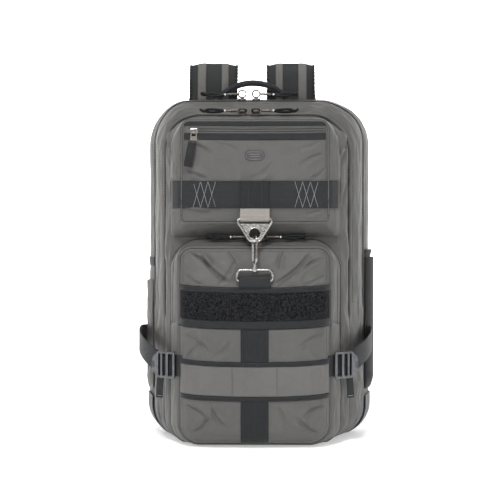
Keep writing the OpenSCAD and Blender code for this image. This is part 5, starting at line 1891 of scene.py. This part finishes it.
def build_back():
    """Back panel, its cushions, the yoke and what the straps are sewn to."""
    sec = [(62.0, HALF_W - 9.5, 8.5, TOP_Z - 12, 59, 41)]
    panel = FrontMap(sec + [(61.6, HALF_W - 30, 30, TOP_Z - 34, 50, 36)], 0, 2.5, 3, 1.6, lambda p: 0.8 * fbm(p, (40, 40, 50), 2, 6.0))
    sheet = panel.panel("back_panel_cloth", 8.6, TOP_Z - 12.1, 120, 160, NYLON)
    data = np.array([v.co for v in sheet.data.vertices])
    data[:, 1] = (2 * 62.0 * MM) - data[:, 1]
    for v, p in zip(sheet.data.vertices, data):
        v.co = p
    sheet.data.flip_normals()
    finish_piece(sheet, "pack", "airmesh", "back_panel")
    hw, z0, z1, rt, rb = sec[0][1:]
    o = outline(hw + 0.6, z0 - 0.6, z1 + 0.6, rt, rb)
    path = np.column_stack([o[:, 0], np.full(len(o), 61.6), o[:, 1]])
    finish_piece(join_meshes("back_piping", [sweep(resample(path, 2.0), 2.0, sides=8, closed=True)], BLACK_TAPE), "pack", "webbing")

    # Three cushions of spacer mesh, swollen as cloth and sewn through in channels
    shapes = (
        ("back_pad_right", [(24, 152), (114, 152), (114, 388), (24, 388)], [196, 244, 292, 340]),
        ("back_pad_left", [(-114, 152), (-24, 152), (-24, 388), (-114, 388)], [196, 244, 292, 340]),
        ("back_pad_lower", [(-114, 46), (114, 46), (114, 130), (-114, 130)], []),
    )
    bindings = []
    for name, corners, channels in shapes:
        pts = rounded_polygon(corners, 14, steps=5)
        pad = inflate(pad_solid(pts, 66.5, 71.0, name), 6)
        low = np.array([min(c[0] for c in corners), min(c[1] for c in corners)])
        high = np.array([max(c[0] for c in corners), max(c[1] for c in corners)])
        for v in pad.data.vertices:
            x, y, z = (c / MM for c in v.co)
            edge = min(x - low[0], high[0] - x, z - low[1], high[1] - z)
            groove = sum(math.exp(-((z - c) / 3.2) ** 2) for c in channels)
            if not channels:
                groove = math.exp(-((x - 40) / 3.2) ** 2) + math.exp(-((x + 40) / 3.2) ** 2)
            if y > 67.5:
                y = 67.5 + (y - 67.5) * (1 - 0.62 * min(groove, 1)) * (0.55 + 0.45 * min(1, max(edge, 0) / 14))
            v.co.y = min(max(y, 65.6), 75.8) * MM
        pad.data.materials.append(SPACER)
        finish_piece(pad, "pack", "airmesh", *(["back_pads"] if name == "back_pad_right" else []))
        ring = np.array([(x, 67.0, z) for x, z in rounded_polygon(
            [(c[0] + (2.2 if c[0] == high[0] else -2.2), c[1] + (2.2 if c[1] == high[1] else -2.2)) for c in corners], 15, steps=8)])
        bindings.append(sweep(resample(np.vstack([ring, ring[:1]]), 2.0), 1.7, sides=8))
    finish_piece(join_meshes("back_pad_bindings", bindings, BLACK_TAPE), "pack", "webbing")

    # Yoke with the handle's feet
    xs, zs = edge_spaced(-103, 103, 3.0), edge_spaced(402.5, 457.5, 3.0)
    x, z = np.meshgrid(xs[::-1], zs)
    y = 65.4 + 0.5 * fbm(np.stack([x, x * 0, z], axis=2).reshape(-1, 3), (30, 30, 20), 2, 1.0).reshape(x.shape)
    grid = np.stack([x, y, z], axis=2)
    finish_piece(join_meshes("yoke_cloth", [strip_solid(grid, 1.8, 0.3)], NYLON), "pack", "nylon", "strap_yoke")
    threads = []
    for z in (405, 455, 408, 452):
        p = resample([(-99, 67.9, z), (99, 67.9, z)], 1.0)
        threads += stitch_parts(p, np.tile([0, 1.0, 0], (len(p), 1)), 2.3, 3.4, 0.3)
    for side in (-1, 1):
        x0, x1, z0, z1 = side * 27, side * 87, 428, 446
        for a, b in (((x0, z0), (x1, z0)), ((x0, z1), (x1, z1)), ((x0, z0), (x1, z1)), ((x0, z1), (x1, z0)), ((x0, z0), (x0, z1)),
                     ((x1, z0), (x1, z1))):
            p = resample([(a[0], 77.3, a[1]), (b[0], 77.3, b[1])], 1.0)
            threads += stitch_parts(p, np.tile([0, 1.0, 0], (len(p), 1)), 2.3, 3.0, 0.32)
    finish_piece(join_meshes("yoke_stitches", threads, THREAD_GREY), "pack", "webbing")
    covers, feet = [], []
    for side in (-1, 1):
        xs = edge_spaced(side * 57 - 34, side * 57 + 34, 3.0)[::-1]
        x, z = np.meshgrid(xs, edge_spaced(424, 450, 2.0))
        y = 75.2 + 1.2 * (1 - ((x - side * 57) / 36) ** 2)
        covers.append(strip_solid(np.stack([x, y, z], axis=2), 0.8, 0.0))
        foot = [(side * 58, 66.4, 452), (side * 58, 66.0, 462), (side * 58, 63.6, 470), (side * 58, 62.0, 477)]
        feet.append(ribbon(resample(smooth_path(foot, 6), 1.0), (1, 0, 0), 14, 2.6, 0.3))
    finish_piece(join_meshes("strap_root_covers", covers, NYLON), "pack", "nylon")
    finish_piece(join_meshes("handle_feet", feet, BLACK_TAPE), "pack", "webbing")

    # Lower shoulder webbings, their adjusters and the wings that hold them
    webs, wings, tails = [], [], []
    for side, word in ((1, "right"), (-1, "left")):
        pts = [(side * (STRAP_X + x), y, z) for x, y, z in SHOULDER_WEB]
        p = resample(smooth_path(pts, 8), 1.6)
        webs.append(ribbon(p, (1, 0, 0), 24.5, 1.4))
        wing = [(119, 38), (138, 52), (142, 96), (119, 62)]
        xz = [(side * a, b) for a, b in wing]
        grid = np.array([[np.array([blend_value(blend_value(xz[0][0], xz[1][0], u), blend_value(xz[3][0], xz[2][0], u), v),
                                    65.8 + 0.8 * math.sin(math.pi * u) * math.sin(math.pi * v),
                                    blend_value(blend_value(xz[0][1], xz[1][1], u), blend_value(xz[3][1], xz[2][1], u), v)])
                          for u in np.linspace(0, 1, 14)] for v in np.linspace(0, 1, 14)])
        if grid_normals(grid)[6, 6, 1] < 0:
            grid = grid[:, ::-1]
        wings.append(strip_solid(grid, 2.0, 0.0))
        axes = Matrix(((0, 1, 0, 0), (0, 0, 1, 0), (-1, 0, 0, 0), (0, 0, 0, 1)))
        place = Matrix.Translation(Vector((side * (STRAP_X + 44), 110, 196))) @ Matrix.Diagonal((side, 1, 1, 1)) \
            @ Matrix(((0, 1, 0, 0), (0, 0, 1, 0), (-1, 0, 0, 0), (0, 0, 0, 1)))
        body = f"strap_lock_{word}"
        ladder_frame(f"shoulder_lock_{word}", 26, 34, place, BLACK_PLASTIC, body, body, "lock_plastic")
        inner = [(24, 0, -2.4), (19, 0, -1.6), (15.5, 0, 0.8), (14, 0, 3.0), (10.5, 0, 3.4), (8.0, 0, 1.6), (7.4, 0, -1.6)]
        q = resample(turned(place, smooth_path(inner, 6)), 0.9)
        finish_piece(join_meshes(f"shoulder_lock_webbing_{word}", [ribbon(q, (1, 0, 0), 24.5, 1.3)], BLACK_WEB), body, "webbing")
        hold = [(side * (STRAP_X + 42), 114, 222), (side * (STRAP_X + 43), 112.5, 207), (side * (STRAP_X + 44), 112.6, 198),
                (side * (STRAP_X + 44), 110.2, 193.0), (side * (STRAP_X + 44), 107.4, 197), (side * (STRAP_X + 43), 110, 208),
                (side * (STRAP_X + 42), 113, 220)]
        tails.append(ribbon(resample(smooth_path(hold, 6), 0.9), (1, 0, 0), 24.5, 1.3))
        del axes
    finish_piece(join_meshes("lower_shoulder_webbing", webs, BLACK_WEB), "pack", "webbing", "shoulder_webs")
    finish_piece(join_meshes("strap_wings", wings, NYLON), "pack", "nylon", "strap_anchors")
    finish_piece(join_meshes("adjuster_loops", tails, BLACK_WEB), "pack", "webbing")


# ---------------------------------------------------------------------------
# Inside: sleeve, dividers, organizer
# ---------------------------------------------------------------------------


def inner_sheet(name, sec, y, z_lo, z_hi, material, body, slot, node, crown, seed, thick=1.6):
    """An upright panel of lining cloth with soft folds."""
    m = FrontMap([(y, *sec), (y - 0.3, sec[0] - 12, sec[1] + 12, sec[2] - 12, max(sec[3] - 8, 3), max(sec[4] - 8, 3))], 0, 3.0, 1, crown,
                 lambda p: 0.9 * fbm(p, (45, 40, 60), 2, seed))
    rows = max(12, int((z_hi - z_lo) / 3.2))
    hw = half_width(sec, np.clip(np.linspace(z_lo, z_hi, rows), sec[1] + 0.02, sec[2] - 0.02))
    x = hw[:, None] * np.linspace(-1, 1, 80)[None, :]
    z = np.repeat(np.linspace(z_lo, z_hi, rows)[:, None], 80, 1)
    grid = np.stack([x, m.y(x, z), z], axis=2)
    return finish_piece(closed_panel(name, grid, material, thick), body, slot, *([node] if node else []))


def build_inside():
    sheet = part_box("frame_sheet")
    inner_sheet("back_lining", (sheet[1][0] / MM, sheet[0][2] / MM, sheet[1][2] / MM, 30, 20), sheet[0][1] / MM + 0.3,
                sheet[0][2] / MM + 0.2, sheet[1][2] / MM - 0.2, LINING, "pack", "lining", "frame_sheet", 0.2, 4.1)
    inner = tuple(v - d for v, d in zip(body_section(-20), (4, -4, 4, 4, 4)))
    inner_sheet("divider_lower", inner, -18.8, inner[1] + 0.2, FOLD_Z - 1, LINING, "pack", "lining", "lower_divider", 0.4, 2.2)
    inner_sheet("divider_upper", inner, -18.8, FOLD_Z + 1, inner[2] - 0.2, LINING, "mid_section", "lining", "mid_divider", 0.4, 3.2)
    sleeve = inner_sheet("laptop_sleeve_pad", (127, 7, 344, 20, 20), 39.0, 7.2, 343.8, LINING, "pack", "lining", "laptop_sleeve", 1.2, 5.2, 3.2)
    o = outline(127, 7, 344, 20, 20)
    path = np.column_stack([o[:, 0], np.full(len(o), 39.6), o[:, 1]])
    finish_piece(join_meshes("sleeve_binding", [sweep(resample(path, 2.5), 1.6, sides=8, closed=True)], BLACK_TAPE), "pack", "webbing")
    strap = ribbon(resample([(0, 42, 352), (0, 36.8, 346), (0, 36.4, 320), (0, 36.6, 296)], 2), (1, 0, 0), 38, 1.2)
    finish_piece(join_meshes("sleeve_strap", [strap], BLACK_WEB), "pack", "webbing")
    inner_sheet("organizer_pockets", (95, 176, 299, 6, 6), -24.6, 176.1, 298.9, LINING, "mid_section", "lining", "organizer", 1.0, 7.7)
    inner_sheet("organizer_slip", (69, 313, 371, 6, 6), -22.2, 313.1, 370.9, LINING, "mid_section", "lining", None, 0.6, 8.7)
    binding = [sweep(resample([(-95, -26.2, 299), (95, -26.2, 299)], 2), 1.3, sides=8),
               sweep(resample([(-69, -23.4, 371), (69, -23.4, 371)], 2), 1.3, sides=8)]
    finish_piece(join_meshes("organizer_binding", binding, BLACK_TAPE), "mid_section", "webbing")
    seams = []
    for x in (-60, -20, 20, 60):
        p = resample([(x, -26.6, 178), (x, -26.6, 297)], 1.0)
        seams += stitch_parts(p, np.tile([0, -1.0, 0], (len(p), 1)), 2.3, 3.2, 0.28)
    finish_piece(join_meshes("organizer_stitches", seams, THREAD_GREY), "mid_section", "lining")


def build_fold_liners():
    """Cloths inside the fold: they close the seams of the base and the divider while a section is folded down."""
    zs = np.linspace(118, 212, 24)
    for name, inset, lower_body, upper_body in (
        ("fold_liner_outer", 5.5, "pack", "mid_section"), ("fold_liner_inner", 7.5, "mid_section", "front_section"),
    ):
        rows = []
        for z in zs:
            side = [(half_width(body_section(y), np.array([z]))[0] - inset, y) for y in np.linspace(-24, -60, 12)]
            side += [(half_width(section_at(LOWER, y), np.array([z]))[0] - inset, y) for y in np.linspace(-66, -97, 12)]
            front = [(x, float(lower_map.y(x, z)) + inset) for x in np.linspace(98, 0, 30)]
            right = np.array(side + front)
            half = resample_count(np.column_stack([right, np.full(len(right), z)]), 70)
            rows.append(np.vstack([half, half[:-1][::-1] * np.array([-1, 1, 1])]))
        obj = closed_panel(name, np.array(rows), LINING, 0.9)
        lean_to_side(obj)
        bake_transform(obj)

    x, z = np.meshgrid(np.linspace(-1, 1, 60), zs)
    x *= half_width(body_section(-17), zs)[:, None] - 6
    hinge = closed_panel("divider_hinge", np.stack([x, np.full(x.shape, -16.6), z], axis=2), LINING, 0.9)
    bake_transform(hinge)


def dress(node, material):
    """Gives a CAD piece that stays visible its material."""
    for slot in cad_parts[node].material_slots:
        slot.link = "OBJECT"
        slot.material = material


def dress_hardware():
    dress("snap_hook", NICKEL)
    dress("hook_gate", NICKEL_DARK)


build_body()
build_pockets()
build_trims()
build_upper_front()
build_band()
build_ring()
build_hook_base()
build_hook_webbing()
build_sliders()
for strap_side in (-1, 1):
    build_strap(strap_side)
build_handle()
build_side_pockets()
build_compression()
build_back()
build_inside()
build_fold_liners()
dress_hardware()


def build_studio():
    """Pale floor and soft light."""
    floor_look = Look("studio_floor", (0.87, 0.87, 0.87), 0.9, specular=0.0)
    floor_look.shader.inputs["Emission Color"].default_value = (1, 1, 1, 1)
    floor_look.shader.inputs["Emission Strength"].default_value = 0.36
    floor_mat = floor_look.mat
    ground = np.array([[x, y, 0.0] for y in np.linspace(-7000, 7000, 90) for x in np.linspace(-7000, 7000, 90)])
    away = np.linalg.norm(ground, axis=1)
    ground[:, 2] = 4200 * smooth(1400, 6800, away) ** 2
    floor = new_object("studio_floor", ground, grid_faces(90, 90), floor_mat)
    world = bpy.data.worlds.new("studio")
    world.use_nodes = True
    world.node_tree.nodes["Background"].inputs["Color"].default_value = (1, 1, 1, 1)
    world.node_tree.nodes["Background"].inputs["Strength"].default_value = 0.2
    bpy.context.scene.world = world

    def area(name, location, target, size, power):
        light = bpy.data.lights.new(name, "AREA")
        light.size = size
        light.energy = power
        obj = bpy.data.objects.new(name, light)
        obj.location = location
        obj.rotation_euler = (Vector(target) - Vector(location)).to_track_quat("-Z", "Y").to_euler()
        bpy.context.scene.collection.objects.link(obj)

    area("key", (-0.45, -1.9, 2.8), (0, 0, 0.25), 0.6, 66)
    area("fill", (2.4, -1.5, 1.0), (0, 0, 0.25), 1.4, 3)
    area("top", (0.3, 0.2, 2.8), (0, 0, 0.3), 1.4, 20)
    area("backdrop", (0.0, 2.6, 3.2), (0, 6.2, 1.2), 3.0, 420)


def build_camera():
    """The photograph's angle: from straight ahead, a little below the pack's top."""
    camera = bpy.data.objects.new("camera", bpy.data.cameras.new("camera"))
    camera.data.lens = 118
    camera.data.sensor_width = 36
    turn = math.radians(0.5)
    distance = 2.35
    camera.location = (distance * math.sin(turn), -distance * math.cos(turn), 0.345)
    camera.rotation_euler = (math.radians(90 - 1.9), 0, turn + math.radians(0.19))
    camera.data.clip_end = 50
    bpy.context.scene.collection.objects.link(camera)
    bpy.context.scene.camera = camera


build_studio()
build_camera()
bpy.context.scene.view_settings.view_transform = "Standard"
